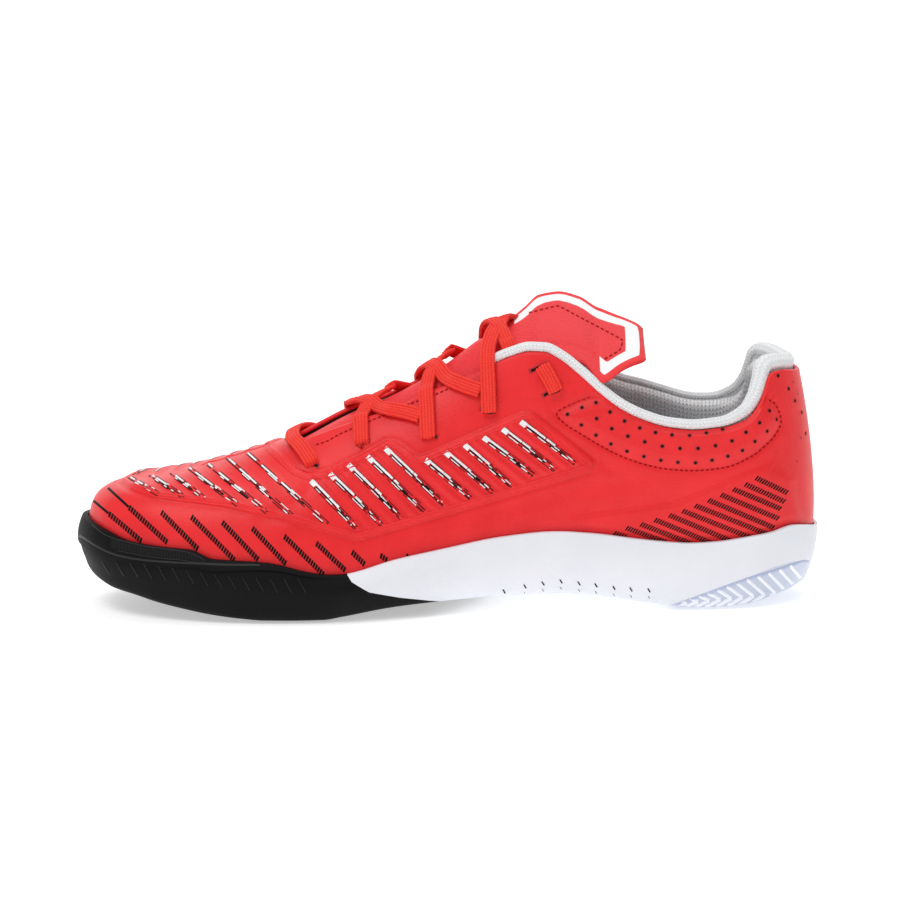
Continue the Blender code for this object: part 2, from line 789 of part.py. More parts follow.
def cut_tread(outsole):
    """Flex grooves across the forefoot and a round turning groove under the ball of the foot."""
    for number, (share, degrees) in enumerate(GROOVES):
        bpy.ops.mesh.primitive_cube_add(size=1.0)
        groove = bpy.context.active_object
        groove.name = f"flex_groove_{number + 1}"
        under = SIDE["spring"](share) * TOE_SPRING
        groove.scale = (GROOVE_WIDTH, 1.3 * BALL_WIDTH, 2 * GROOVE_DEPTH)
        groove.rotation_euler = (0.0, 0.0, math.radians(degrees))
        groove.location = (place(share), 0.0, under)
        hide_cutter(groove)
        cut(outsole, groove)
    bpy.ops.mesh.primitive_torus_add(
        major_radius=PIVOT_RADIUS,
        minor_radius=0.5 * PIVOT_GROOVE,
        major_segments=28,
        minor_segments=6,
        location=(place(PIVOT_ALONG), PIVOT_SIDE * BALL_WIDTH, 0.0),
    )
    ring = bpy.context.active_object
    ring.name = "pivot_groove"
    hide_cutter(ring)
    cut(outsole, ring)


def hide_cutter(obj):
    for collection in list(obj.users_collection):
        collection.objects.unlink(obj)
    cutters_collection().objects.link(obj)
    obj.hide_render = True
    obj.display_type = "WIRE"


def build_insole(material):
    """The sockliner, lying in the cup inside the upper's wall."""
    profiles = []
    for column in ROUND:
        base = 2 * GAP
        height = column.floor() + base + INSOLE_THICKNESS
        at_top = column.find(lambda rho, z: z - height)
        narrow = min(column.section(0.0)[0], column.section(at_top)[0])
        edge = narrow - UPPER_WALL - INSOLE_CLEARANCE
        profile = [
            (0.0, column.floor_at(0.0) + base),
            (0.5 * edge, column.floor_at(0.5 * edge) + base),
            (edge, column.floor() + base),
            (edge, column.floor() + base + INSOLE_THICKNESS),
            (0.5 * edge, column.floor_at(0.5 * edge) + base + INSOLE_THICKNESS),
            (0.0, column.floor_at(0.0) + base + INSOLE_THICKNESS),
        ]
        profiles.append([column.point(rho, z) for rho, z in profile])
    return closed_loft("insole", profiles, material)


# The lining and the binding run round the collar from these stations on each side. At the heel the
# collar is padded: its roll grows, and lies inside the wall's top edge.
PAD_COLUMNS = ("along", "pad")
PAD = (
    (0.660, 0.00),
    (0.860, 0.06),
    (0.905, 0.45),
    (0.935, 0.85),
    (0.960, 1.00),
    (1.000, 1.00),
)
PAD_LINE = table_curves(PAD_COLUMNS, PAD)["pad"]
PAD_THICKNESS = 12.0 * MM
PAD_ROLL = 4.4 * MM
PAD_SEAT = PAD_ROLL + 5 * GAP
PAD_TILT = 7.0
BINDING_TUCK = 0.7 * UPPER_WALL
LINING_FRONT = 0.665
LINING_DEPTH = 0.48
LINING_ROWS = 4
BINDING_FRONT = 0.590


def collar_run(front):
    """Columns of the collar, from its front end on the inner side round the heel to the outer."""
    inner = [column for column in INNER if column.spine_share >= front]
    outer = [column for column in OUTER if column.spine_share >= front]
    return inner[::-1] + outer[1:]


def build_lining(material):
    """The padded lining: thick under the top line, thicker at the heel, and thin at its hem."""
    near, far = [], []
    for column in collar_run(LINING_FRONT):
        pad = PAD_LINE(column.share)
        top = below_edge(column, PAD_SEAT * pad)
        hem = column.rim_t + (column.top_t - column.rim_t) * (1 - LINING_DEPTH)
        near_row, far_row = [], []
        for j in range(LINING_ROWS + 1):
            blend = j / LINING_ROWS
            fullness = math.sin(0.5 * math.pi * blend)
            full = LINING_TOP + (PAD_THICKNESS - LINING_TOP) * pad
            thickness = LINING_HEM + (full - LINING_HEM) * fullness
            t = hem + (top - hem) * blend
            outside = UPPER_WALL + 1.5 * GAP
            near_row.append(surface_point(column, t, -outside))
            far_row.append(surface_point(column, t, -outside - thickness))
        near.append(near_row)
        far.append(far_row)
    return slab("collar_lining", near, far, material)


def binding_path():
    """Middle line of the binding and its radius: over the wall's edge, at the heel inside it."""
    path = []
    for column in collar_run(BINDING_FRONT):
        t = column.top_t
        pad = PAD_LINE(column.share)
        rise = unit(surface_point(column, t) - surface_point(column, t - EDGE_STEP))
        inward = -surface_normal(column, t)
        radius = BINDING_RADIUS + (PAD_ROLL - BINDING_RADIUS) * pad
        clear = radius + 3.5 * GAP
        tilt = math.radians(90.0 * (1 - pad) + PAD_TILT * pad)
        lift = clear * math.sin(tilt)
        tuck = BINDING_TUCK * (1 - pad) + UPPER_WALL * pad + clear * math.cos(tilt)
        path.append((surface_point(column, t) + rise * lift + inward * tuck, radius))
    return path


def build_binding(material):
    """The knitted binding: a soft roll that caps the collar's top edge."""
    curve = bpy.data.curves.new("collar_binding", "CURVE")
    curve.dimensions = "3D"
    curve.bevel_depth = BINDING_RADIUS
    curve.bevel_resolution = 2
    curve.use_fill_caps = True
    path = binding_path()
    spline = curve.splines.new("POLY")
    spline.points.add(len(path) - 1)
    for point, (where, radius) in zip(spline.points, path):
        point.co = (*where, 1.0)
        point.radius = radius / BINDING_RADIUS
    obj = bpy.data.objects.new("collar_binding", curve)
    parts_collection().objects.link(obj)
    curve.materials.append(material)
    return obj


def unit(vector):
    return vector / np.linalg.norm(vector)


# The tongue by stations along the shoe. centre is its middle height over the instep height and roll
# its lean towards the inner side in degrees; inner and outer are its half widths over the ball width,
# free is how far it has left the upper's own form, and drop how far its edges hang over the ball width.
TONGUE_COLUMNS = ("along", "centre", "roll", "inner", "outer", "free", "drop")
TONGUE = (
    (0.238, 0.640, 0.0, 0.215, 0.215, 0.00, 0.000),
    (0.300, 0.700, 0.0, 0.235, 0.235, 0.00, 0.000),
    (0.420, 0.880, 0.0, 0.225, 0.225, 0.00, 0.000),
    (0.505, 1.030, 0.0, 0.180, 0.180, 0.00, 0.000),
    (0.532, 1.050, 2.0, 0.135, 0.135, 0.00, 0.004),
    (0.559, 1.072, 9.0, 0.138, 0.142, 0.60, 0.010),
    (0.583, 1.104, 18.0, 0.150, 0.168, 1.00, 0.012),
    (0.608, 1.124, 22.0, 0.150, 0.217, 1.00, 0.012),
    (0.626, 1.142, 24.5, 0.150, 0.244, 1.00, 0.012),
    (0.652, 1.143, 25.5, 0.150, 0.254, 1.00, 0.012),
    (0.680, 1.136, 26.0, 0.165, 0.230, 1.00, 0.012),
    (0.707, 1.110, 26.5, 0.195, 0.190, 1.00, 0.012),
    (0.734, 1.120, 19.0, 0.160, 0.146, 1.00, 0.008),
    (0.754, 1.118, 14.0, 0.115, 0.122, 1.00, 0.006),
    (0.766, 1.108, 11.0, 0.090, 0.098, 1.00, 0.004),
)
TONGUE_LINE = table_curves(TONGUE_COLUMNS, TONGUE)
TONGUE_STATIONS = 22
TONGUE_ACROSS = 8
TONGUE_TAPER = 0.55


def tongue_height(share, offset):
    """Height of the tongue's top face, offset from the middle plane towards the outer side."""
    column = Column(share, 90.0, 1 if offset > 0 else -1)
    rho = abs(offset)
    fall = (section_height(column, rho + MM) - section_height(column, rho)) / MM
    room = (UPPER_WALL + 3 * GAP) * math.hypot(1.0, column.ridge_slope(), fall)
    held = section_height(column, rho) - room
    free = TONGUE_LINE["free"](share)
    roll = math.tan(math.radians(float(TONGUE_LINE["roll"](share))))
    half = TONGUE_LINE["outer" if offset > 0 else "inner"](share) * BALL_WIDTH
    droop = TONGUE_LINE["drop"](share) * BALL_WIDTH * (offset / half) ** 2
    standing = TONGUE_LINE["centre"](share) * INSTEP_HEIGHT + offset * roll - droop
    return held * (1 - free) + standing * free


def build_tongue(material):
    """The padded tongue: under the vamp and eyestays it follows them, and its top stands free."""
    near, far = [], []
    for share in np.linspace(TONGUE[0][0], TONGUE[-1][0], TONGUE_STATIONS):
        near_row, far_row = [], []
        for j in range(TONGUE_ACROSS + 1):
            q = 2 * j / TONGUE_ACROSS - 1
            offset = q * TONGUE_LINE["inner" if q < 0 else "outer"](share) * BALL_WIDTH
            y = offset - SPINE_LINE(share) * BALL_WIDTH
            z = tongue_height(share, offset)
            thickness = TONGUE_THICKNESS * (1 - TONGUE_TAPER * abs(q) ** 3)
            near_row.append(np.array([place(share), y, z]))
            far_row.append(np.array([place(share), y, z - thickness]))
        near.append(near_row)
        far.append(far_row)
    return slab("tongue", near, far, material)


def section_height(column, rho):
    """Height of the last's surface at a distance out from the spine, near the ridge."""
    t = column.find(lambda r, z: rho - r)
    return column.section(t)[1]


def below_edge(column, drop):
    """The t that lies a length of wall below the throat's edge."""
    t, step = column.top_t, 0.01
    here = column.section(t)
    while drop > 0 and t > step:
        there = column.section(t - step)
        length = np.linalg.norm(there - here)
        t -= step * min(1.0, drop / length)
        drop -= length
        here = there
    return t


# The laces. Each crossing leaves an eyelet (start), climbs the eyestay and runs over the tongue to
# the far edge of the throat (end). drop is how far the eyelet lies below the throat's edge, and loft
# how far the lace stands off the tongue, as shares of the ball width.
LACE_COLUMNS = ("start", "end", "drop", "loft")
LACE_BAR = (0.318, 0.318, 0.155, 0.000)
LACE_CROSSINGS = (
    (0.386, 0.440, 0.106, 0.006),
    (0.474, 0.520, 0.186, 0.010),
    (0.556, 0.586, 0.170, 0.026),
)
LACE_END = (0.630, 0.646, 0.060, 0.155)
LACE_STEPS = 7
LACE_END_STEPS = 4
LACE_LIFT = 0.5 * LACE_THICKNESS + 3 * GAP
TONGUE_LIFT = 1.3 * LACE_LIFT
LACE_OVER = 0.55 * LACE_THICKNESS
CLIMB = (1.0, 0.66, 0.33, 0.0)
# How late a lace turns back along the shoe, how soon it comes down from the throat's edge, and where
# its crest starts and how blunt it is.
LACE_TURN = 1.6
LACE_FALL = 2.2
CREST_START = 0.1
CREST_POWER = 0.7


def on_eyestay(share, side, drop):
    """Where a lace lies on the eyestay, a length of wall below the throat's edge, and its facing."""
    column = Column(share, 90.0, side)
    column.tangent = lengthwise_tangent(share, side)
    t = below_edge(column, drop * BALL_WIDTH)
    facing = surface_normal(column, t)
    return surface_point(column, t) + facing * LACE_LIFT, facing


def on_tongue(share, offset, loft):
    """Where a lace lies over the tongue, and its facing."""
    step = MM
    share_step = step / LENGTH
    height = tongue_height(share, offset)
    rise_x = (tongue_height(share + share_step, offset) - height) / step
    rise_y = (tongue_height(share, offset + step) - height) / step
    facing = unit(np.array([-rise_x, -rise_y, 1.0]))
    base = np.array([place(share), offset - SPINE_LINE(share) * BALL_WIDTH, height + loft])
    return base + facing * TONGUE_LIFT, facing


def lace_path(side, row, over=0.0):
    """Middle line of one lace: up the eyestay from its eyelet and over the tongue.

    over lifts the one of a pair that crosses above the other.
    """
    start, end, drop, loft = row
    path = [on_eyestay(start, side, drop * part) for part in CLIMB]
    half = THROAT_LINE(start) * BALL_WIDTH
    far = THROAT_LINE(end) * BALL_WIDTH - 0.5 * LACE_WIDTH - UPPER_WALL
    for i in range(1, LACE_STEPS):
        blend = i / (LACE_STEPS - 1)
        share = start + (end - start) * blend**LACE_TURN
        offset = side * (half * (1 - blend) - far * blend)
        point, facing = on_tongue(share, offset, 0.0)
        bridge = max(0.0, 1 - LACE_FALL * blend)
        edge = path[len(CLIMB) - 1][0][2]
        point[2] = max(point[2], edge * bridge + point[2] * (1 - bridge))
        crest = max(0.0, math.sin(math.pi * (CREST_START + (1 - CREST_START) * blend)))
        point[2] += loft * BALL_WIDTH * crest**CREST_POWER + over * math.sin(math.pi * blend)
        path.append((point, facing))
    return path


def ribbon(name, path, material):
    """A flat lace along a path of points and facings."""
    near, far = [], []
    for i, (point, facing) in enumerate(path):
        ahead = path[min(i + 1, len(path) - 1)][0] - path[max(i - 1, 0)][0]
        across = unit(np.cross(ahead, facing)) * 0.5 * LACE_WIDTH
        up = unit(np.cross(across, ahead)) * 0.5 * LACE_THICKNESS
        near.append([point - across - up, point + across - up])
        far.append([point - across + up, point + across + up])
    return slab(name, near, far, material)


def build_laces(material):
    """The bar at the front, the crossings, each one body, and the ends at the top eyelets."""
    inner, outer = (lace_path(side, LACE_BAR)[: len(CLIMB)] for side in (-1, 1))
    ribbon("lace_bar", inner + outer[::-1], material)
    for number, row in enumerate(LACE_CROSSINGS):
        first = ribbon(f"lace_crossing_{number + 1}", lace_path(-1, row), material)
        second = ribbon(f"lace_over_{number + 1}", lace_path(1, row, LACE_OVER), material)
        hide_cutter(second)
        cut(first, second, "UNION")
    start, end, upper_drop, lower_drop = LACE_END
    for side, name in ((-1, "lace_end_inner"), (1, "lace_end_outer")):
        path = []
        for i in range(LACE_END_STEPS + 1):
            blend = i / LACE_END_STEPS
            drop = upper_drop + (lower_drop - upper_drop) * blend
            path.append(on_eyestay(start + (end - start) * blend, side, drop))
        ribbon(name, path, material)


# The ribbed overlay on each quarter. low and high are the heights of its two edges as shares of the
# instep height.
PANEL_COLUMNS = ("along", "low", "high")
PANEL = (
    (0.330, 0.355, 0.580),
    (0.346, 0.345, 0.595),
    (0.402, 0.372, 0.642),
    (0.425, 0.390, 0.674),
    (0.450, 0.415, 0.725),
    (0.462, 0.425, 0.722),
    (0.490, 0.445, 0.682),
    (0.505, 0.455, 0.684),
    (0.570, 0.510, 0.760),
    (0.640, 0.575, 0.828),
    (0.655, 0.592, 0.830),
)
PANEL_RIBS = 11
RIB_BEAT = 3
PANEL_SLANT = 0.074
PANEL_ACROSS = (0.0, 0.07, 0.29, 0.5, 0.71, 0.93, 1.0)


def build_panel(name, side, material):
    """A thin moulded overlay on one quarter, with slanting ribs raised on it."""
    curves = table_curves(PANEL_COLUMNS, PANEL)
    first, last = PANEL[0][0], PANEL[-1][0]
    near, far = [], []
    beats = RIB_BEAT * PANEL_RIBS
    for i in range(beats + 1):
        raised = i % RIB_BEAT == 1
        near_row, far_row = [], []
        for v in PANEL_ACROSS:
            along = first + (last - first) * i / beats
            share = along + PANEL_SLANT * (0.5 - v)
            column = Column(share, 90.0, side)
            column.tangent = lengthwise_tangent(share, side)
            height = (curves["low"](along) * (1 - v) + curves["high"](along) * v) * INSTEP_HEIGHT
            t = column.find(lambda rho, z: z - height)
            thick = PANEL_BASE + (PANEL_RIB - PANEL_BASE) * (raised and 0.0 < v < 1.0)
            near_row.append(surface_point(column, t, 2 * GAP))
            far_row.append(surface_point(column, t, 2 * GAP + thick))
        near.append(near_row)
        far.append(far_row)
    return slab(name, near, far, material)


def lengthwise_tangent(share, side):
    before, after = (Column(share + step, 90.0, side) for step in (-SLOPE_STEP, SLOPE_STEP))

    def tangent(t):
        return after.point(*after.section(t)) - before.point(*before.section(t))

    return tangent


def clear_scene():
    for obj in list(bpy.data.objects):
        bpy.data.objects.remove(obj, do_unlink=True)


def main():
    clear_scene()
    red = finish("upper_red", (0.80, 0.045, 0.050), 0.50)
    tongue_red = finish("tongue_red", (0.78, 0.050, 0.055), 0.60)
    lace_red = finish("lace_red", (0.75, 0.020, 0.020), 0.80)
    black = finish("rubber_black", (0.018, 0.018, 0.020), 0.55)
    white = finish("foam_white", (0.80, 0.82, 0.86), 0.60)
    clear = finish("rubber_clear", (0.66, 0.70, 0.80), 0.35)
    knit = finish("knit_white", (0.84, 0.84, 0.82), 0.90)
    mesh_grey = finish("mesh_grey", (0.70, 0.73, 0.75), 0.95)
    foam_grey = finish("insole_grey", (0.55, 0.57, 0.58), 0.90)

    link_tangents(ROUND)
    build_upper(red)
    build_sole(black, white, clear)
    build_insole(foam_grey)
    build_lining(mesh_grey)
    build_binding(knit)
    build_tongue(tongue_red)
    build_laces(lace_red)
    build_panel("quarter_panel_inner", -1, red)
    build_panel("quarter_panel_outer", 1, red)


main()
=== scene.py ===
"""Looks of the indoor soccer shoe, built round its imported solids.

Metres, +Z up. The toe points along -X and the inner side of this right shoe faces -Y. Places that are
read off the photograph are points of its 900 by 900 frame, and reach the shoe along the camera's rays.
"""
import math
import random

import bmesh
import bpy
import numpy as np
from mathutils import Matrix, Vector
from mathutils.bvhtree import BVHTree


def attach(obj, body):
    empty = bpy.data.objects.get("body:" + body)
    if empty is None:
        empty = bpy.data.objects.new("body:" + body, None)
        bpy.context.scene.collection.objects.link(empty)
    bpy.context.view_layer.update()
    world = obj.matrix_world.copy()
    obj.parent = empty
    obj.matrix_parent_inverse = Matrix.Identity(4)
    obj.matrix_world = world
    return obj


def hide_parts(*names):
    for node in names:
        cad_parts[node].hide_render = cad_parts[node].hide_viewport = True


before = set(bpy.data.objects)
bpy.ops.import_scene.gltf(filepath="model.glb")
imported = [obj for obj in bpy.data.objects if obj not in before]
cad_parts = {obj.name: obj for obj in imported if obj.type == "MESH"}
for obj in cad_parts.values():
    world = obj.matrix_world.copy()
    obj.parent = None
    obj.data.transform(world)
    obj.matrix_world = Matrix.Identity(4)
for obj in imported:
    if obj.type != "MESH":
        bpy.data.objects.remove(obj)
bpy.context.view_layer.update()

MM = 0.001

# The last's named sizes and tables, as in the part's source.
LENGTH = 290 * MM
BALL_WIDTH = 102.4 * MM
INSTEP_HEIGHT = 93 * MM
HEEL_HEIGHT = 91 * MM
SIDE_HEIGHT = 30 * MM
STACK_HEIGHT = 19 * MM
TOE_SPRING = 14 * MM
ARCH_HEIGHT = 6.5 * MM
UPPER_WALL = 2.0 * MM
SIDE_LIP = 2.2 * MM
SEAT_INSET = 5.0 * MM
UNDER_INSET = 4.5 * MM
UNDER_CHAMFER = 1.4 * MM
GAP = 0.3 * MM
CUP_CLEARANCE = 0.5 * MM
LINING_TOP = 3.4 * MM
LINING_HEM = 1.0 * MM
BINDING_RADIUS = 1.9 * MM
TONGUE_THICKNESS = 4.2 * MM
LEDGE_STEP = 0.8 * MM
TOE_TIP_SIDE = 0.055
TOE_CENTRE = 0.172
HEEL_CENTRE = 0.876
THROAT_FRONT = 0.281

PLAN = (
    (0.018, 0.225, 0.118), (0.045, 0.322, 0.212), (0.090, 0.402, 0.302), (0.155, 0.461, 0.390),
    (0.230, 0.493, 0.456), (0.300, 0.500, 0.490), (0.365, 0.478, 0.500), (0.450, 0.425, 0.487),
    (0.530, 0.381, 0.455), (0.610, 0.352, 0.415), (0.690, 0.341, 0.383), (0.770, 0.341, 0.362),
    (0.850, 0.337, 0.350), (0.915, 0.303, 0.312), (0.962, 0.222, 0.228), (0.990, 0.115, 0.118),
)
SPINE = ((0.0, 0.055), (0.172, 0.045), (0.45, 0.020), (0.80, 0.0), (1.0, 0.0))
SECTION_COLUMNS = (
    "along", "ridge", "rise", "seat", "lean_in", "lean_out", "crown_in", "crown_out"
)
SECTIONS = (
    (0.000, 0.490, 0.385, 0.90, 0.020, 0.020, 0.70, 0.70),
    (0.090, 0.512, 0.345, 0.95, 0.024, 0.018, 0.68, 0.66),
    (0.172, 0.580, 0.315, 1.00, 0.024, 0.014, 0.64, 0.60),
    (0.230, 0.632, 0.300, 1.00, 0.022, 0.012, 0.62, 0.58),
    (0.285, 0.690, 0.285, 1.00, 0.012, 0.004, 0.56, 0.60),
    (0.365, 0.815, 0.270, 1.00, -0.006, -0.010, 0.44, 0.66),
    (0.431, 0.905, 0.275, 1.00, -0.020, -0.026, 0.50, 0.58),
    (0.476, 0.984, 0.290, 1.00, -0.020, -0.030, 0.60, 0.58),
    (0.530, 1.108, 0.315, 1.00, -0.014, -0.026, 0.60, 0.58),
    (0.584, 1.272, 0.345, 1.00, -0.006, -0.016, 0.62, 0.62),
    (0.610, 1.331, 0.365, 1.00, 0.000, -0.008, 0.66, 0.66),
    (0.690, 1.420, 0.385, 1.00, 0.006, 0.000, 0.70, 0.70),
    (0.770, 1.490, 0.410, 0.95, 0.012, 0.006, 0.74, 0.74),
    (0.850, 1.570, 0.400, 0.85, 0.026, 0.024, 0.72, 0.72),
    (0.940, 1.620, 0.350, 0.70, 0.055, 0.055, 0.64, 0.64),
    (1.000, 1.640, 0.320, 0.62, 0.074, 0.074, 0.57, 0.57),
)
SOLE_COLUMNS = ("along", "top_in", "top_out", "floor", "spring", "arch_in", "arch_out", "bevel")
SOLE = (
    (0.000, 1.190, 1.190, 1.080, 1.100, 0.00, 0.00, 0.0),
    (0.030, 1.130, 1.130, 1.060, 0.870, 0.00, 0.00, 0.0),
    (0.070, 1.020, 1.010, 0.960, 0.640, 0.00, 0.00, 0.0),
    (0.120, 0.975, 0.960, 0.820, 0.380, 0.00, 0.00, 0.0),
    (0.160, 0.950, 0.930, 0.700, 0.220, 0.00, 0.00, 0.0),
    (0.190, 0.840, 0.830, 0.660, 0.120, 0.00, 0.00, 0.0),
    (0.225, 0.820, 0.810, 0.600, 0.040, 0.00, 0.00, 0.0),
    (0.255, 0.800, 0.800, 0.570, 0.000, 0.00, 0.00, 0.0),
    (0.270, 0.780, 0.780, 0.560, 0.000, 0.00, 0.00, 0.0),
    (0.315, 0.665, 0.675, 0.550, 0.000, 0.00, 0.00, 0.0),
    (0.335, 0.630, 0.645, 0.555, 0.000, 0.00, 0.00, 0.0),
    (0.356, 0.620, 0.640, 0.560, 0.000, 0.12, 0.06, 0.0),
    (0.430, 0.770, 0.745, 0.610, 0.000, 0.55, 0.30, 0.0),
    (0.500, 0.890, 0.835, 0.680, 0.000, 0.78, 0.42, 0.0),
    (0.570, 1.005, 0.910, 0.780, 0.000, 0.96, 0.50, 0.0),
    (0.640, 1.060, 0.940, 0.880, 0.000, 1.00, 0.52, 0.0),
    (0.690, 1.030, 0.930, 0.940, 0.000, 0.86, 0.44, 0.0),
    (0.750, 0.955, 0.895, 0.980, 0.000, 0.44, 0.24, 0.0),
    (0.800, 0.905, 0.880, 1.000, 0.000, 0.10, 0.06, 0.0),
    (0.820, 0.895, 0.880, 1.000, 0.000, 0.00, 0.00, 0.0),
    (0.850, 0.905, 0.905, 1.000, 0.000, 0.00, 0.00, 0.0),
    (0.905, 0.965, 0.965, 1.000, 0.000, 0.00, 0.00, 0.05),
    (0.935, 1.000, 1.000, 1.000, 0.000, 0.00, 0.00, 0.16),
    (0.960, 1.050, 1.050, 1.000, 0.000, 0.00, 0.00, 0.24),
    (0.982, 1.010, 1.010, 1.000, 0.000, 0.00, 0.00, 0.32),
    (1.000, 0.930, 0.930, 1.000, 0.000, 0.00, 0.00, 0.40),
)
COLLAR = (
    (0.540, 1.016), (0.555, 1.034), (0.584, 1.070), (0.610, 1.093), (0.631, 1.090),
    (0.652, 1.058), (0.679, 0.990), (0.706, 0.912), (0.733, 0.848), (0.760, 0.806),
    (0.793, 0.774), (0.827, 0.763), (0.861, 0.771), (0.895, 0.800), (0.915, 0.863),
    (0.9225, 0.914), (0.930, 0.980), (0.938, 0.996), (0.950, 0.996), (0.969, 0.983), (1.000, 0.974),
)
# How much higher the collar stands on the outer side, where, and over what share of the length.
OUTER_RISE = 0.045
OUTER_RISE_AT = 0.775
OUTER_RISE_SPAN = 0.055
THROAT = (
    (0.281, 0.000), (0.285, 0.050), (0.296, 0.085), (0.320, 0.105), (0.420, 0.128),
    (0.520, 0.155), (0.590, 0.180), (0.640, 0.192), (0.700, 0.200),
)
# How far the tread's edge is rounded up above the floor, in millimetres.
EDGE_LIFT = (
    (0.00, 0.0), (0.05, 0.6), (0.09, 2.2), (0.13, 2.2), (0.20, 1.9), (0.33, 1.3), (0.42, 1.8),
    (0.60, 1.6), (0.80, 1.8), (0.92, 1.6), (1.00, 0.0),
)
LEDGE = (
    (0.000, 0.50, 1.00), (0.040, 0.56, 1.00), (0.130, 0.68, 1.00), (0.220, 0.85, 1.00),
    (0.300, 0.92, 0.80), (0.370, 0.94, 0.00), (1.000, 0.94, 0.00),
)
SPLIT = (
    (0.350, 0.98), (0.357, 0.76), (0.372, 0.54), (0.395, 0.40), (0.436, 0.29),
    (0.490, 0.18), (0.546, 0.165), (0.552, -0.20),
)
HEEL_PAD = (
    (0.786, -0.20), (0.796, 0.07), (0.840, 0.24), (0.894, 0.42), (0.935, 0.53),
    (0.962, 0.56), (0.980, 0.50), (0.988, 0.36), (0.988, -0.20),
)
PAD = ((0.660, 0.00), (0.860, 0.06), (0.905, 0.45), (0.935, 0.85), (0.960, 1.00), (1.000, 1.00))
TONGUE_COLUMNS = ("along", "centre", "roll", "inner", "outer", "free", "drop")
TONGUE = (
    (0.238, 0.640, 0.0, 0.215, 0.215, 0.00, 0.000),
    (0.300, 0.700, 0.0, 0.235, 0.235, 0.00, 0.000),
    (0.420, 0.880, 0.0, 0.225, 0.225, 0.00, 0.000),
    (0.505, 1.030, 0.0, 0.180, 0.180, 0.00, 0.000),
    (0.532, 1.050, 2.0, 0.135, 0.135, 0.00, 0.004),
    (0.559, 1.072, 9.0, 0.138, 0.142, 0.60, 0.010),
    (0.583, 1.104, 18.0, 0.150, 0.168, 1.00, 0.012),
    (0.608, 1.124, 22.0, 0.150, 0.217, 1.00, 0.012),
    (0.626, 1.142, 24.5, 0.150, 0.244, 1.00, 0.012),
    (0.652, 1.143, 25.5, 0.150, 0.254, 1.00, 0.012),
    (0.680, 1.136, 26.0, 0.165, 0.230, 1.00, 0.012),
    (0.707, 1.110, 26.5, 0.240, 0.190, 1.00, 0.012),
    (0.734, 1.114, 22.5, 0.208, 0.146, 1.00, 0.008),
    (0.754, 1.107, 19.5, 0.175, 0.122, 1.00, 0.006),
    (0.766, 1.098, 18.5, 0.150, 0.098, 1.00, 0.004),
)
PAD_THICKNESS = 12.0 * MM
PAD_ROLL = 3.5 * MM
PAD_SEAT = PAD_ROLL + 5 * GAP
PAD_TILT = 7.0
BINDING_TUCK = 0.7 * UPPER_WALL
LINING_FRONT = 0.665
LINING_DEPTH = 0.62
LINING_RISE = 2.4 * MM
BINDING_FRONT = 0.545
BINDING_AROUND = 26
LINING_ROWS = 40
LINING_CLEAR = UPPER_WALL + 1.5 * GAP
# The length that one row of the mesh and one stitch of the knit take up.
MESH_PITCH = 1.5 * MM
KNIT_PITCH = 1.4 * MM

# The photograph: its frame, what one of its pixels covers at the shoe, and how the camera stands.
FRAME_PX = 900
CHART_MIDDLE = 447.5
PIXEL = 0.3914 * MM
SENSOR = 36.0
DISTANCE = 1.6
ELEVATION = math.radians(10.5)
ROLL = math.radians(0.6)
AIM = np.array((0.001, 0.0, 0.0583))


def smooth_curve(knots, values):
    """A curve through the values that never overshoots them, as a function of one number."""
    knots = np.asarray(knots, float)
    values = np.asarray(values, float)
    steps = np.diff(knots)
    slopes = np.diff(values) / steps
    tangents = np.zeros(len(knots))
    tangents[0], tangents[-1] = slopes[0], slopes[-1]
    for i in range(1, len(knots) - 1):
        before, after = slopes[i - 1], slopes[i]
        if before * after > 0:
            near = 2 * steps[i] + steps[i - 1]
            far = steps[i] + 2 * steps[i - 1]
            tangents[i] = (near + far) / (near / before + far / after)

    def at(where):
        where = np.clip(where, knots[0], knots[-1])
        i = np.clip(np.searchsorted(knots, where, side="right") - 1, 0, len(steps) - 1)
        s = (where - knots[i]) / steps[i]
        return (
            (1 + 2 * s) * (1 - s) ** 2 * values[i]
            + s * (1 - s) ** 2 * steps[i] * tangents[i]
            + s * s * (3 - 2 * s) * values[i + 1]
            - s * s * (1 - s) * steps[i] * tangents[i + 1]
        )

    return at


def table_curves(columns, rows):
    """One smooth curve for each named column, over the first column."""
    along = [row[0] for row in rows]
    return {
        name: smooth_curve(along, [row[i] for row in rows]) for i, name in enumerate(columns) if i
    }


SECTION = table_curves(SECTION_COLUMNS, SECTIONS)
SIDE = table_curves(SOLE_COLUMNS, SOLE)
TONGUE_LINE = table_curves(TONGUE_COLUMNS, TONGUE)
EDGE_LINE = table_curves(("along", "lift"), EDGE_LIFT)["lift"]
COLLAR_LINE = table_curves(("along", "height"), COLLAR)["height"]
THROAT_LINE = table_curves(("along", "half"), THROAT)["half"]
SPINE_LINE = table_curves(("along", "inward"), SPINE)["inward"]
LEDGE_CURVES = table_curves(("along", "height", "step"), LEDGE)
PAD_LINE = table_curves(("along", "pad"), PAD)["pad"]


def place(share):
    return (share - 0.5) * LENGTH


def share_of(x):
    return x / LENGTH + 0.5


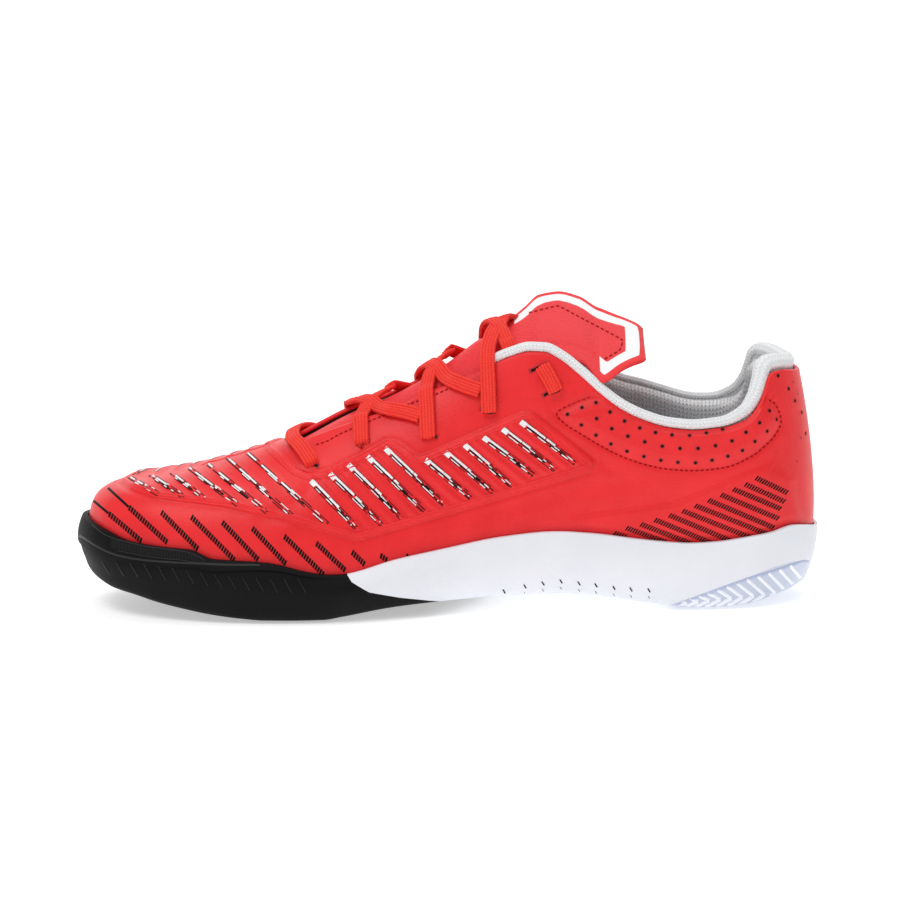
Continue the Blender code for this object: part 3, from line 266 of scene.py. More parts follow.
def through(points, per=10, closed=False):
    """A smooth line through points, with centripetal spacing."""
    points = np.asarray(points, float)
    count = len(points)
    dense = []
    for i in range(count if closed else count - 1):
        if closed:
            a, b, c, d = (points[(i + k) % count] for k in (-1, 0, 1, 2))
        else:
            b, c = points[i], points[i + 1]
            a = points[i - 1] if i else 2 * b - c
            d = points[i + 2] if i + 2 < count else 2 * c - b
        ta, tb, tc = (
            max(np.linalg.norm(q - p), 1e-9) ** 0.5 for p, q in ((a, b), (b, c), (c, d))
        )
        leave = ((b - a) / ta - (c - a) / (ta + tb) + (c - b) / tb) * tb
        arrive = ((c - b) / tb - (d - b) / (tb + tc) + (d - c) / tc) * tb
        for s in np.arange(per) / per:
            dense.append(
                (1 + 2 * s) * (1 - s) ** 2 * b
                + s * (1 - s) ** 2 * leave
                + s * s * (3 - 2 * s) * c
                - s * s * (1 - s) * arrive
            )
    if not closed:
        dense.append(points[-1])
    return np.array(dense)


def plan_outline():
    inner = [(place(a), -i * BALL_WIDTH) for a, i, _ in PLAN]
    outer = [(place(a), o * BALL_WIDTH) for a, _, o in PLAN]
    toe = [(place(0.0), -TOE_TIP_SIDE * BALL_WIDTH)]
    return through(toe + inner + [(place(1.0), 0.0)] + outer[::-1], per=14, closed=True)


OUTLINE = plan_outline()


def reach(start, heading):
    """How far the outline of the sole is from start along heading."""
    edge = np.roll(OUTLINE, -1, axis=0) - OUTLINE
    offset = OUTLINE - start
    cross = heading[0] * edge[:, 1] - heading[1] * edge[:, 0]
    cross = np.where(np.abs(cross) < 1e-12, 1e-12, cross)
    distance = (offset[:, 0] * edge[:, 1] - offset[:, 1] * edge[:, 0]) / cross
    along = (offset[:, 0] * heading[1] - offset[:, 1] * heading[0]) / cross
    hit = (distance > 0) & (along >= -1e-9) & (along <= 1 + 1e-9)
    return distance[hit].max()


SAMPLES = np.linspace(0.0, 1.0, 241)


class Column:
    """One upright plane of the last: it starts on the spine and faces one point of the outline."""

    def __init__(self, share, degrees, side):
        angle = math.radians(degrees)
        self.suffix = "in" if side < 0 else "out"
        self.side = side
        self.start = np.array([place(share), -SPINE_LINE(share) * BALL_WIDTH])
        self.heading = np.array([math.cos(angle), side * math.sin(angle)])
        self.reach = reach(self.start, self.heading)
        self.spine_share = share
        self.share = share_of(self.start[0] + self.reach * self.heading[0])
        rise = SECTION["ridge"](share + 0.004) - SECTION["ridge"](share - 0.004)
        self.ridge_slope = rise * INSTEP_HEIGHT / (0.008 * LENGTH)
        self.ridge = SECTION["ridge"](share) * INSTEP_HEIGHT
        seat = self.reach - SEAT_INSET * SECTION["seat"](self.share)
        base = SIDE["floor"](self.share) * STACK_HEIGHT + 2 * GAP
        lean = SECTION["lean_" + self.suffix](self.share) * BALL_WIDTH
        crown = SECTION["crown_" + self.suffix](self.share) * self.reach
        self.control = np.array(
            [
                (seat, base),
                (seat + lean, base + SECTION["rise"](self.share) * INSTEP_HEIGHT),
                (crown, self.ridge + self.ridge_slope * self.heading[0] * crown),
                (0.0, self.ridge),
            ]
        )
        self.samples = self.section(SAMPLES)
        rim = SIDE["top_" + self.suffix](self.share) * SIDE_HEIGHT
        self.rim_t = self.find(self.samples[1] - rim)
        self.top_t = self.find_top()

    def plan(self, rho):
        return self.start + self.heading * rho

    def point(self, rho, z):
        x, y = self.plan(rho)
        return np.array([x, y, z])

    def points(self, rho, z):
        return np.stack(
            [self.start[0] + self.heading[0] * rho, self.start[1] + self.heading[1] * rho, z], -1
        )

    def section(self, t):
        a, b, c, d = self.control
        t = np.asarray(t, float)
        return np.stack(
            [
                (1 - t) ** 3 * a[k]
                + 3 * (1 - t) ** 2 * t * b[k]
                + 3 * (1 - t) * t * t * c[k]
                + t**3 * d[k]
                for k in (0, 1)
            ]
        )

    def find(self, values):
        """The first t at which the sampled values are no longer negative."""
        hit = np.nonzero(values[1:] >= 0)[0]
        if not len(hit):
            return 1.0
        i = hit[0]
        span = values[i + 1] - values[i]
        part = -values[i] / span if abs(span) > 1e-15 else 0.0
        return SAMPLES[i] + min(1.0, max(0.0, part)) * (SAMPLES[i + 1] - SAMPLES[i])

    def find_top(self):
        """Where the wall ends: at the ridge, at the throat or at the collar."""
        rho, z = self.samples
        tops = [1.0]
        if self.spine_share > THROAT_FRONT + 1e-6:
            tops.append(self.find(THROAT_LINE(self.spine_share) * BALL_WIDTH - rho))
        if self.spine_share > COLLAR[0][0]:
            share = np.maximum(share_of(self.start[0] + self.heading[0] * rho), COLLAR[0][0])
            height = COLLAR_LINE(share)
            if self.side > 0:
                height = height + OUTER_RISE * np.exp(-(((share - OUTER_RISE_AT) / OUTER_RISE_SPAN) ** 2))
            tops.append(self.find(z - height * HEEL_HEIGHT))
        return min(tops)

    def floor_at(self, rho):
        return SIDE["floor"](share_of(self.plan(rho)[0])) * STACK_HEIGHT

    def under(self, rho):
        """Height of the sole's underside, which rises at the toe, under the arch and at the heel."""
        share = share_of(self.plan(rho)[0])
        middle = 0.5 * (SIDE["arch_in"](share) + SIDE["arch_out"](share))
        blend = min(1.0, max(0.0, rho / self.reach))
        arch = middle * (1 - blend) + SIDE["arch_" + self.suffix](share) * blend
        lift = SIDE["spring"](share) * TOE_SPRING + arch * ARCH_HEIGHT
        lift += EDGE_LINE(share) * MM * blend**4
        return lift + SIDE["bevel"](share) * STACK_HEIGHT


# The camera, and the two ways between the shoe and the photograph's frame.
LOOK = np.array((0.0, math.cos(ELEVATION), -math.sin(ELEVATION)))
LEVEL = np.array((1.0, 0.0, 0.0))
UPRIGHT = np.array((0.0, math.sin(ELEVATION), math.cos(ELEVATION)))
RIGHT = LEVEL * math.cos(ROLL) - UPRIGHT * math.sin(ROLL)
UP = LEVEL * math.sin(ROLL) + UPRIGHT * math.cos(ROLL)
EYE = AIM - LOOK * DISTANCE
FOCAL_PX = DISTANCE / PIXEL


def to_chart(points, side=None):
    """Where points fall in the photograph. The outer side is charted as the inner one's mirror."""
    points = np.array(points, float)
    if side is not None:
        spine = SPINE_LINE(share_of(points[..., 0])) * BALL_WIDTH
        beyond = points[..., 1] > -spine
        points[..., 1] = np.where(beyond, -points[..., 1] - 2 * spine, points[..., 1])
    offset = points - EYE
    depth = offset @ LOOK
    across = FRAME_PX / 2 + FOCAL_PX * (offset @ RIGHT) / depth
    down = FRAME_PX / 2 - FOCAL_PX * (offset @ UP) / depth
    return across, down


def column_list(side, heel, shares, toe):
    """Columns of one side, from the middle of the heel to the middle of the toe."""
    fan = [Column(HEEL_CENTRE, 90.0 * i / heel, side) for i in range(heel)]
    middle = [Column(share, 90.0, side) for share in shares]
    tip = [Column(TOE_CENTRE, 90.0 + 90.0 * i / toe, side) for i in range(1, toe + 1)]
    return fan + middle + tip


def all_round(heel, shares, toe):
    inner, outer = (column_list(side, heel, shares, toe) for side in (-1, 1))
    return inner + outer[-2:0:-1]


def stations(*runs):
    """Shares of the length: runs of (start, end, count), each without its last one but for the last."""
    parts = [np.linspace(a, b, n, endpoint=False) for a, b, n in runs]
    return np.append(np.concatenate(parts), runs[-1][1])


def unit(vector):
    return vector / np.maximum(np.linalg.norm(vector, axis=-1, keepdims=True), 1e-12)


def run_length(line):
    """How far along a line each of its points lies."""
    return np.concatenate([[0], np.cumsum(np.linalg.norm(np.diff(line, axis=0), axis=1))])


def smoothstep(low, high, value):
    s = np.clip((value - low) / (high - low), 0.0, 1.0)
    return s * s * (3 - 2 * s)


def line_distance(x, y, points, closed=False):
    """Distance from places of the photograph's frame to a line drawn in it, in its pixels."""
    points = np.asarray(points, float)
    ends = np.roll(points, -1, axis=0) if closed else points[1:]
    nearest = np.full(np.shape(x), 1e9)
    for (ax, ay), (bx, by) in zip(points, ends):
        dx, dy = bx - ax, by - ay
        s = np.clip(((x - ax) * dx + (y - ay) * dy) / (dx * dx + dy * dy), 0, 1)
        nearest = np.minimum(nearest, np.hypot(x - ax - s * dx, y - ay - s * dy))
    return nearest


def inside_line(x, y, points):
    """Whether places of the frame lie inside a closed line drawn in it."""
    points = np.asarray(points, float)
    inside = np.zeros(np.shape(x), bool)
    for (ax, ay), (bx, by) in zip(points, np.roll(points, -1, axis=0)):
        if ay == by:
            continue
        crosses = (ay > y) != (by > y)
        inside ^= crosses & (x < ax + (y - ay) * (bx - ax) / (by - ay))
    return inside


def depth_in(x, y, points):
    """Signed distance to a closed line of the frame: above zero inside it."""
    return np.where(inside_line(x, y, points), 1, -1) * line_distance(x, y, points, True)


def bump_line(x, y, points, height, width, closed=False):
    """A soft ridge, or with a negative height a trough, along a line of the frame."""
    return height * np.exp(-((line_distance(x, y, points, closed) / width) ** 2))


# Materials: each is a principled shader with its own grain.
def link(tree, a, b):
    tree.links.new(a, b)


def texture(tree, kind, source, scale, **values):
    node = tree.nodes.new(kind)
    link(tree, source, node.inputs["Vector"])
    node.inputs["Scale"].default_value = scale
    for name, value in values.items():
        node.inputs[name].default_value = value
    return node


def math_node(tree, operation, *values):
    node = tree.nodes.new("ShaderNodeMath")
    node.operation = operation
    for socket, value in zip(node.inputs, values):
        if isinstance(value, (int, float)):
            socket.default_value = value
        else:
            link(tree, value, socket)
    return node.outputs[0]


def mix_colour(tree, share, first, second):
    node = tree.nodes.new("ShaderNodeMix")
    node.data_type = "RGBA"
    link(tree, share, node.inputs[0])
    for socket, value in ((node.inputs[6], first), (node.inputs[7], second)):
        if isinstance(value, tuple):
            socket.default_value = (*value, 1.0)
        else:
            link(tree, value, socket)
    return node.outputs[2]


class Look:
    """A material under construction: a colour, a gloss, and layers of bump from fine textures."""

    def __init__(self, name, colour, roughness, specular=0.5, coat=0.0, sheen=0.0):
        self.material = bpy.data.materials.new(name)
        self.material.use_nodes = True
        self.tree = self.material.node_tree
        self.shader = self.tree.nodes["Principled BSDF"]
        self.shader.inputs["Base Color"].default_value = (*colour, 1.0)
        self.shader.inputs["Roughness"].default_value = roughness
        self.shader.inputs["Specular IOR Level"].default_value = specular
        self.shader.inputs["Coat Weight"].default_value = coat
        self.shader.inputs["Coat Roughness"].default_value = 0.3
        self.shader.inputs["Sheen Weight"].default_value = sheen
        self.shader.inputs["Sheen Roughness"].default_value = 0.5
        coordinates = self.tree.nodes.new("ShaderNodeTexCoord")
        self.object = coordinates.outputs["Object"]
        self.uv = coordinates.outputs["UV"]
        self.normal = None

    def bump(self, height, distance):
        node = self.tree.nodes.new("ShaderNodeBump")
        node.inputs["Strength"].default_value = 1.0
        node.inputs["Distance"].default_value = distance
        link(self.tree, height, node.inputs["Height"])
        if self.normal is not None:
            link(self.tree, self.normal, node.inputs["Normal"])
        self.normal = node.outputs["Normal"]
        link(self.tree, self.normal, self.shader.inputs["Normal"])
        return self

    def grain(self, scale, distance):
        noise = texture(
            self.tree, "ShaderNodeTexNoise", self.object, scale, Detail=3.0, Roughness=0.6
        )
        return self.bump(noise.outputs["Fac"], distance)

    def cells(self, scale, distance):
        cells = texture(self.tree, "ShaderNodeTexVoronoi", self.object, scale)
        return self.bump(cells.outputs["Distance"], distance)

    def colour(self, output):
        link(self.tree, output, self.shader.inputs["Base Color"])
        return self

    def mottle(self, first, second, scale):
        noise = texture(self.tree, "ShaderNodeTexNoise", self.object, scale, Detail=4.0)
        ramp = self.tree.nodes.new("ShaderNodeMapRange")
        link(self.tree, noise.outputs["Fac"], ramp.inputs["Value"])
        ramp.inputs["From Min"].default_value = 0.35
        ramp.inputs["From Max"].default_value = 0.65
        return self.colour(mix_colour(self.tree, ramp.outputs["Result"], first, second))

    def split_uv(self):
        node = self.tree.nodes.new("ShaderNodeSeparateXYZ")
        link(self.tree, self.uv, node.inputs[0])
        return node.outputs[0], node.outputs[1]


RED = (0.80, 0.020, 0.024)
RED_DEEP = (0.74, 0.016, 0.020)
BLACK = (0.0034, 0.0034, 0.0038)
LACE_RED = (0.80, 0.022, 0.026)
# The lace's colour in the painted shade of its rib valleys, and in the painted highlight on its strands.
LACE_VALLEY_SHADE = (0.76, 0.020, 0.016)
LACE_CREST_HIGHLIGHT = (0.94, 0.058, 0.038)
TONGUE_RED = (0.80, 0.040, 0.048)
# The rows of mesh, counted from the top, between which it turns grey: painted shade deeper in the shoe.
MESH_SHADE_ROWS = (2.0, 14.0)
WHITE = (0.86, 0.87, 0.88)


def plain_look(name, colour, roughness, specular, grain, mottle=None, cells=None, **more):
    """A material of one colour, or of two mottled ones, with grain and perhaps an emboss."""
    look = Look(name, colour, roughness, specular, **more)
    if mottle:
        look.mottle(*mottle)
    if cells:
        look.cells(*cells)
    return look.grain(*grain).material


def wave_of(tree, value):
    """A sine of the value in turns, between 0 and 1."""
    sine = math_node(tree, "SINE", math_node(tree, "MULTIPLY", value, 2 * math.pi))
    return math_node(tree, "MULTIPLY_ADD", sine, 0.5, 0.5)


def lace_look():
    """Ribs along the lace, each woven of slanting strands, with painted shade in the valleys and painted
    highlight on the strands' crests.
    """
    lace = Look("lace_red", LACE_RED, 0.78, 0.2, sheen=0.05)
    along, across = lace.split_uv()
    tree = lace.tree
    strand = math_node(tree, "PINGPONG", across, 0.5)
    slant = math_node(tree, "ADD", along, math_node(tree, "MULTIPLY", strand, 1.1))
    high = wave_of(tree, slant)
    lace.bump(high, 0.00014).grain(3000, 0.0001)
    # Painted shade low between the ribs and painted highlight on the strands' crests, following the bump.
    shade = math_node(tree, "MULTIPLY_ADD", strand, 1.7, math_node(tree, "MULTIPLY", high, 0.2))
    return lace.colour(mix_colour(tree, shade, LACE_VALLEY_SHADE, LACE_CREST_HIGHLIGHT)).material


def tongue_look():
    """The tongue's cover, with a pale band a little inside its rim."""
    tongue = Look("tongue_cover", TONGUE_RED, 0.6, 0.25)
    tree = tongue.tree
    edge, along = tongue.split_uv()
    ramp = tree.nodes.new("ShaderNodeValToRGB")
    ramp.color_ramp.interpolation = "CONSTANT"
    stops = ramp.color_ramp.elements
    stops[0].position, stops[0].color = 0.0, (0.80, 0.034, 0.040, 1)
    stops[1].position, stops[1].color = TONGUE_RIM, (*WHITE, 1)
    last = stops.new(TONGUE_RIM + TONGUE_BAND)
    last.color = (0.78, 0.040, 0.048, 1)
    link(tree, edge, ramp.inputs["Fac"])
    past = math_node(tree, "GREATER_THAN", along, TONGUE_BAND_START)
    tongue.colour(mix_colour(tree, past, (0.78, 0.036, 0.044), ramp.outputs["Color"]))
    return tongue.cells(700, 0.00018).grain(500, 0.0003).material


def knit_look():
    """Columns of slanting stitches, round the collar's roll, greyer in their hollows as painted shade."""
    knit = Look("knit_white", (0.83, 0.84, 0.845), 0.9, 0.2, sheen=0.3)
    tree = knit.tree
    along, across = knit.split_uv()
    column = math_node(tree, "PINGPONG", along, 0.5)
    stitch = wave_of(tree, math_node(tree, "ADD", across, column))
    knit.bump(math_node(tree, "MULTIPLY", stitch, column), 0.0005).grain(2500, 0.0002)
    # Grey in the hollows between stitches and white on their crests: painted shade.
    return knit.colour(mix_colour(tree, stitch, (0.70, 0.72, 0.74), (0.88, 0.885, 0.89))).material


def mesh_look():
    """Spacer mesh, white at the collar and greyer down in the shoe, with painted shade."""
    mesh = Look("spacer_mesh", (0.7, 0.73, 0.75), 0.95, 0.15, sheen=0.2)
    tree = mesh.tree
    along, down = mesh.split_uv()
    column = math_node(tree, "PINGPONG", along, 0.5)
    row = math_node(tree, "ADD", down, math_node(tree, "MULTIPLY", column, 1.4))
    dash = math_node(tree, "SINE", math_node(tree, "MULTIPLY", row, 2 * math.pi))
    relief = math_node(tree, "MULTIPLY", dash, column)
    shown = math_node(tree, "GREATER_THAN", relief, 0.12)
    fade = tree.nodes.new("ShaderNodeMapRange")
    link(tree, down, fade.inputs["Value"])
    fade.inputs["From Min"].default_value, fade.inputs["From Max"].default_value = MESH_SHADE_ROWS
    # Painted shade: the mesh greys with its depth below the collar's top.
    depth_shade = fade.outputs["Result"]
    ground = mix_colour(tree, depth_shade, (0.88, 0.89, 0.90), (0.60, 0.64, 0.67))
    dark = mix_colour(tree, depth_shade, (0.74, 0.76, 0.78), (0.36, 0.40, 0.42))
    mesh.colour(mix_colour(tree, shown, ground, dark))
    return mesh.bump(relief, 0.0005).grain(2500, 0.0002).material


def make_looks():
    """Every material by its short name."""
    return {
        "upper": plain_look("synthetic_red", RED, 0.42, 0.30, (900, 0.00008),
                            (RED_DEEP, RED, 90), (1500, 0.00006)),
        "inside": plain_look("inside_cloth", (0.055, 0.05, 0.052), 0.9, 0.2, (1600, 0.0002),
                             ((0.04, 0.04, 0.042), (0.075, 0.07, 0.07), 400), sheen=0.2),
        "black": plain_look("rubber_black", BLACK, 0.58, 0.12, (1100, 0.0001),
                            ((0.0028, 0.0028, 0.0032), (0.0042, 0.0042, 0.0046), 60)),
        "ridge": plain_look("rubber_black_ridge", (0.012, 0.012, 0.013), 0.4, 0.3, (1100, 0.0001)),
        "foam": plain_look("foam_white", WHITE, 0.5, 0.25, (700, 0.00008),
                           ((0.74, 0.765, 0.81), (0.77, 0.79, 0.835), 40), (1300, 0.00004)),
        "pad": plain_look("rubber_clear", (0.50, 0.56, 0.70), 0.3, 0.4, (500, 0.00008),
                          ((0.50, 0.555, 0.68), (0.56, 0.61, 0.73), 50), coat=0.2),
        # Darker blue grey: painted shade of the heel pad's outline groove.
        "pad_groove_shade": plain_look("rubber_clear_line", (0.42, 0.48, 0.66), 0.35, 0.5, (500, 0.00008)),
        "pad_rib": plain_look("rubber_clear_rib", (0.83, 0.86, 0.93), 0.3, 0.5, (500, 0.00008),
                              coat=0.2),
        # Black print, and the painted shade of the slits under the arch.
        "ink": plain_look("ink_black", (0.005, 0.004, 0.004), 0.6, 0.12, (1500, 0.00004)),
        "white": plain_look("ink_white", (0.85, 0.85, 0.86), 0.5, 0.4, (1500, 0.00004),
                            ((0.72, 0.72, 0.74), (0.88, 0.88, 0.88), 700)),
        # Painted shade of holes and slits, and the paler painted shade round them.
        "hole": plain_look("hole_black", (0.010, 0.006, 0.007), 0.85, 0.1, (1500, 0.00005)),
        "rim": plain_look("hole_rim", (0.40, 0.012, 0.016), 0.5, 0.4, (1200, 0.00005)),
        # Stitches in dark red, the painted shade of their stitch holes.
        "stitch_shade": plain_look("thread_red", (0.36, 0.006, 0.008), 0.7, 0.08, (2500, 0.0001)),
        "lace": lace_look(), "tongue": tongue_look(), "knit": knit_look(), "mesh": mesh_look(),
        "insole": plain_look("insole_cloth", (0.36, 0.38, 0.39), 0.95, 0.1, (1500, 0.0003),
                             ((0.30, 0.32, 0.33), (0.40, 0.42, 0.43), 900), sheen=0.3),
    }


def turn_out(obj, weld=0.0, slivers=False):
    """Points this near are joined, slivers dissolved if asked, and the faces turned outward."""
    work = bmesh.new()
    work.from_mesh(obj.data)
    if weld:
        bmesh.ops.remove_doubles(work, verts=work.verts, dist=weld)
    if slivers:
        bmesh.ops.dissolve_degenerate(work, edges=work.edges, dist=weld)
    bmesh.ops.recalc_face_normals(work, faces=work.faces)
    work.to_mesh(obj.data)
    work.free()
    obj.data.shade_smooth()
    return obj


def add_mesh(name, points, faces, material, uv=None):
    mesh = bpy.data.meshes.new(name)
    mesh.from_pydata(np.asarray(points, float).tolist(), [], faces)
    if uv is not None:
        layer = mesh.uv_layers.new(name="UVMap")
        corners = np.empty(len(mesh.loops), np.int32)
        mesh.loops.foreach_get("vertex_index", corners)
        layer.data.foreach_set("uv", np.asarray(uv, np.float32)[corners].ravel())
    mesh.materials.append(material)
    mesh.shade_smooth()
    obj = bpy.data.objects.new(name, mesh)
    bpy.context.scene.collection.objects.link(obj)
    return obj


def grid_faces(rows, width, closed=False, first=0):
    faces = []
    for i in range(rows if closed else rows - 1):
        a, b = first + i * width, first + ((i + 1) % rows) * width
        faces += [(a + j, b + j, b + j + 1, a + j + 1) for j in range(width - 1)]
    return faces


def tube_faces(rows, width, first=0):
    """Faces of a tube with closed ends: each row is a closed ring of points."""
    faces = []
    for i in range(rows - 1):
        a, b = first + i * width, first + (i + 1) * width
        faces += [(a + j, a + (j + 1) % width, b + (j + 1) % width, b + j) for j in range(width)]
    end = first + (rows - 1) * width
    faces.append(tuple(range(first + width - 1, first - 1, -1)))
    faces.append(tuple(range(end, end + width)))
    return faces


def evaluated_copy(obj, name, material):
    graph = bpy.context.evaluated_depsgraph_get()
    mesh = bpy.data.meshes.new_from_object(obj.evaluated_get(graph))
    mesh.materials.clear()
    mesh.materials.append(material)
    made = bpy.data.objects.new(name, mesh)
    bpy.context.scene.collection.objects.link(made)
    return made


def place_piece(obj, slot, *nodes):
    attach(obj, "root")
    if nodes:
        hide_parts(*nodes)
    return obj


# The upper's relief, drawn in the photograph's frame.
RAISED_ZONE = (
    (112, 474), (120, 440), (240, 415), (268, 436), (270, 447), (295, 470), (307, 475), (332, 472),
    (360, 458), (388, 442), (394.7, 443), (411, 454.7), (419.6, 458.4), (433, 453), (522.4, 414),
    (532.3, 414), (592, 461.4), (588.7, 469.6), (439.5, 514.4), (358, 538.6), (295, 521),
    (226, 505), (155.7, 496.5), (130, 487),
)
COUNTER = (
    (571, 518), (674, 505), (756, 470), (771, 467), (792, 480), (796, 507), (812, 545), (571, 560),
)
COLLAR_PAD = (
    (590.8, 397), (575.4, 402.6), (556.5, 413.8), (565.6, 424.3), (581, 434), (601, 446),
    (628, 459), (660, 468), (696, 470.5), (731, 466), (756, 453.6), (762, 448.6), (772.7, 438.4),
    (777, 432), (781, 424), (780.3, 415.5), (775, 404), (767.6, 399), (755.4, 395.7),
)
VAMP_ROWS = (
    ((126, 475.5), (159, 493.6)), ((144, 470.7), (184, 496.5)), ((164, 467), (205, 499)),
    ((182, 463), (240, 506)), ((201.6, 459), (267.6, 512)), ((222.6, 454), (292, 515.7)),
    ((243.7, 449.7), (328, 524)),
)
QUARTER_BARS = (
    ((311, 481), (356.6, 527.7)), ((329.7, 473.8), (382.3, 524.4)), ((348.3, 464.7), (402, 517.7)),
    ((367.4, 456.4), (424.6, 511)), ((384.8, 448), (444.5, 504.5)), ((425.4, 459.7), (471, 497.8)),
    ((445.3, 452.2), (494.2, 492.9)), ((464.4, 444.8), (512.4, 486.2)),
    ((483.4, 437.3), (534, 474.6)), ((502.5, 429), (555.6, 469.6)), ((520.7, 421.6), (575.5, 463)),
)
CREASES = (
    (((262, 520), (300, 500), (322, 470)), -0.35, 7.0),
    (((285, 528), (326, 506), (352, 470)), 0.25, 8.0),
    (((480, 420), (520, 402), (560, 398)), -0.35, 7.0),
    (((452, 520), (520, 505), (590, 486), (640, 484)), -0.25, 9.0),
    (((600, 500), (650, 486), (720, 480)), 0.15, 9.0),
    (((548, 398), (572, 440), (612, 470)), -0.25, 6.0),
)


def between(first, second):
    """The line halfway between two others."""
    return tuple(tuple((a + b) / 2 for a, b in zip(p, q)) for p, q in zip(first, second))


def upper_relief(x, y):
    """How far the upper's skin stands out at places of the frame, in millimetres."""
    zone = depth_in(x, y, RAISED_ZONE)
    out = 0.55 * smoothstep(-2.5, 1.0, zone) + 0.55 * np.exp(-(((zone - 2.0) / 2.4) ** 2))
    out -= 0.30 * np.exp(-(((zone + 3.5) / 2.4) ** 2))
    ribs = list(QUARTER_BARS)
    ribs += [between(a, b) for a, b in zip(QUARTER_BARS, QUARTER_BARS[1:])]
    for line in ribs:
        out += bump_line(x, y, line, 0.85, 3.1)
    for line in VAMP_ROWS:
        out += bump_line(x, y, line, 0.40, 3.4)
    out += 0.7 * smoothstep(-3.0, 2.5, depth_in(x, y, COUNTER))
    pad = depth_in(x, y, COLLAR_PAD)
    out += 1.3 * smoothstep(0.0, 15.0, pad) - 0.6 * np.exp(-((pad / 2.4) ** 2))
    for line, height, width in CREASES:
        out += bump_line(x, y, line, height, width)
    return out


WALL_ROWS = 116
INSIDE_ROWS = 10
EDGE_ROWS = 4
# Runs of columns along the upper, closer together where the throat opens, and those round its ends.
UPPER_RUNS = (
    (HEEL_CENTRE, 0.326, 176), (0.326, 0.293, 14), (0.293, THROAT_FRONT, 12),
    (THROAT_FRONT, TOE_CENTRE, 36),
)
UPPER_HEEL = 24
UPPER_TOE = 34


def upper_column(column):
    """Points of one column of the upper's outside, from under the sole's edge to its top."""
    dense = np.linspace(column.rim_t, column.top_t, 400)
    length = run_length(column.section(dense).T)
    even = np.interp(np.linspace(0, length[-1], WALL_ROWS + 1), length, dense)
    t = np.concatenate([column.rim_t * np.array([0.0, 0.5, 0.85]), even])
    return column.points(*column.section(t))


def shell_grid(columns):
    """Rows of points over the outside, round the edge and down the inside, and the outside's count."""
    outside = np.array([upper_column(column) for column in columns])
    around = np.roll(outside, -1, axis=0) - np.roll(outside, 1, axis=0)
    normal = unit(np.cross(np.gradient(outside, axis=1), around))
    middle = np.array([[*c.start, 0.5 * c.ridge] for c in columns])[:, None]
    normal *= np.sign(np.sum(normal * (outside - middle), -1, keepdims=True))
    open_top = np.array([c.top_t < 0.9999 for c in columns])
    top, up = outside[:, -1], unit(outside[:, -1] - outside[:, -3])
    face = unit(normal[:, -1] - up * np.sum(normal[:, -1] * up, -1, keepdims=True))
    half = UPPER_WALL / 2
    edge = []
    for i in range(1, EDGE_ROWS + 1):
        turn = math.pi * i / EDGE_ROWS
        rolled = top - face * half + half * (face * math.cos(turn) + up * math.sin(turn))
        edge.append(np.where(open_top[:, None], rolled, top))
    pick = np.linspace(len(outside[0]) - 3, 0, INSIDE_ROWS).astype(int)
    inside = outside[:, pick] - normal[:, pick] * UPPER_WALL
    return np.concatenate([outside, np.stack(edge, axis=1), inside], axis=1), outside.shape[1]


def face_out(work, level, outer_count):
    """Turns the welded shell's faces so that those of its outside look outward."""
    bmesh.ops.recalc_face_normals(work, faces=work.faces)
    check = sum(f.normal.y * f.calc_center_median().y * f.calc_area() for f in work.faces
                if all(v[level] < outer_count for v in f.verts))
    if check < 0:
        bmesh.ops.reverse_faces(work, faces=work.faces)
    work.normal_update()


def build_upper(looks):
    """The upper's shell: welded at the ridge, with its relief raised, and its inside in another cloth."""
    grid, outer_count = shell_grid(all_round(UPPER_HEEL, stations(*UPPER_RUNS), UPPER_TOE))
    rows, width = grid.shape[:2]
    shell = add_mesh(
        "upper_shell", grid.reshape(-1, 3), grid_faces(rows, width, True), looks["upper"]
    )
    work = bmesh.new()
    work.from_mesh(shell.data)
    level = work.verts.layers.int.new("level")
    for i, vertex in enumerate(work.verts):
        vertex[level] = i % width
    bmesh.ops.remove_doubles(work, verts=work.verts, dist=2e-6)
    bmesh.ops.dissolve_degenerate(work, edges=work.edges, dist=2e-6)
    face_out(work, level, outer_count)
    spots = np.array([vertex.co for vertex in work.verts])
    levels = np.array([vertex[level] for vertex in work.verts])
    fade = smoothstep(3, 11, levels) * (1 - smoothstep(outer_count - 5, outer_count - 1, levels))
    relief = upper_relief(*to_chart(spots, side=1)) * MM * fade
    moves = [(vertex, vertex.normal * float(r)) for vertex, r in zip(work.verts, relief) if r]
    for vertex, move in moves:
        vertex.co += move
    for piece in work.faces:
        piece.material_index = int(min(v[level] for v in piece.verts) >= outer_count + 2)
        piece.smooth = True
    work.to_mesh(shell.data)
    work.free()
    shell.data.materials.append(looks["inside"])
    return place_piece(
        shell, "upper_red", "upper", "quarter_panel_inner", "quarter_panel_outer"
    )


# The sole.
SIDE_ROWS = 34
UNDER_ROWS = 36
SOLE_HEEL = 22
SOLE_ALONG = 150
SOLE_TOE = 26
# What each moulding keeps clear of the next one.
SPLIT_ROOM = 0.1 * GAP
PAD_MIDDLE = 0.90
# The turning groove's middle, as shares of the length and of the ball width, and the tread's pitches.
PIVOT = (0.292, -0.16)
PIVOT_RADIUS = 24 * MM
RING_PITCH = 5.6 * MM
ZIG_PITCH = 15 * MM
HERRING_PITCH = 7 * MM
GROOVE_DEPTH = 1.3 * MM
FLEX_DEPTH = 1.9 * MM
FLEX_GROOVES = ((0.132, 14.0), (0.268, 10.0), (0.350, -8.0), (0.450, -12.0))


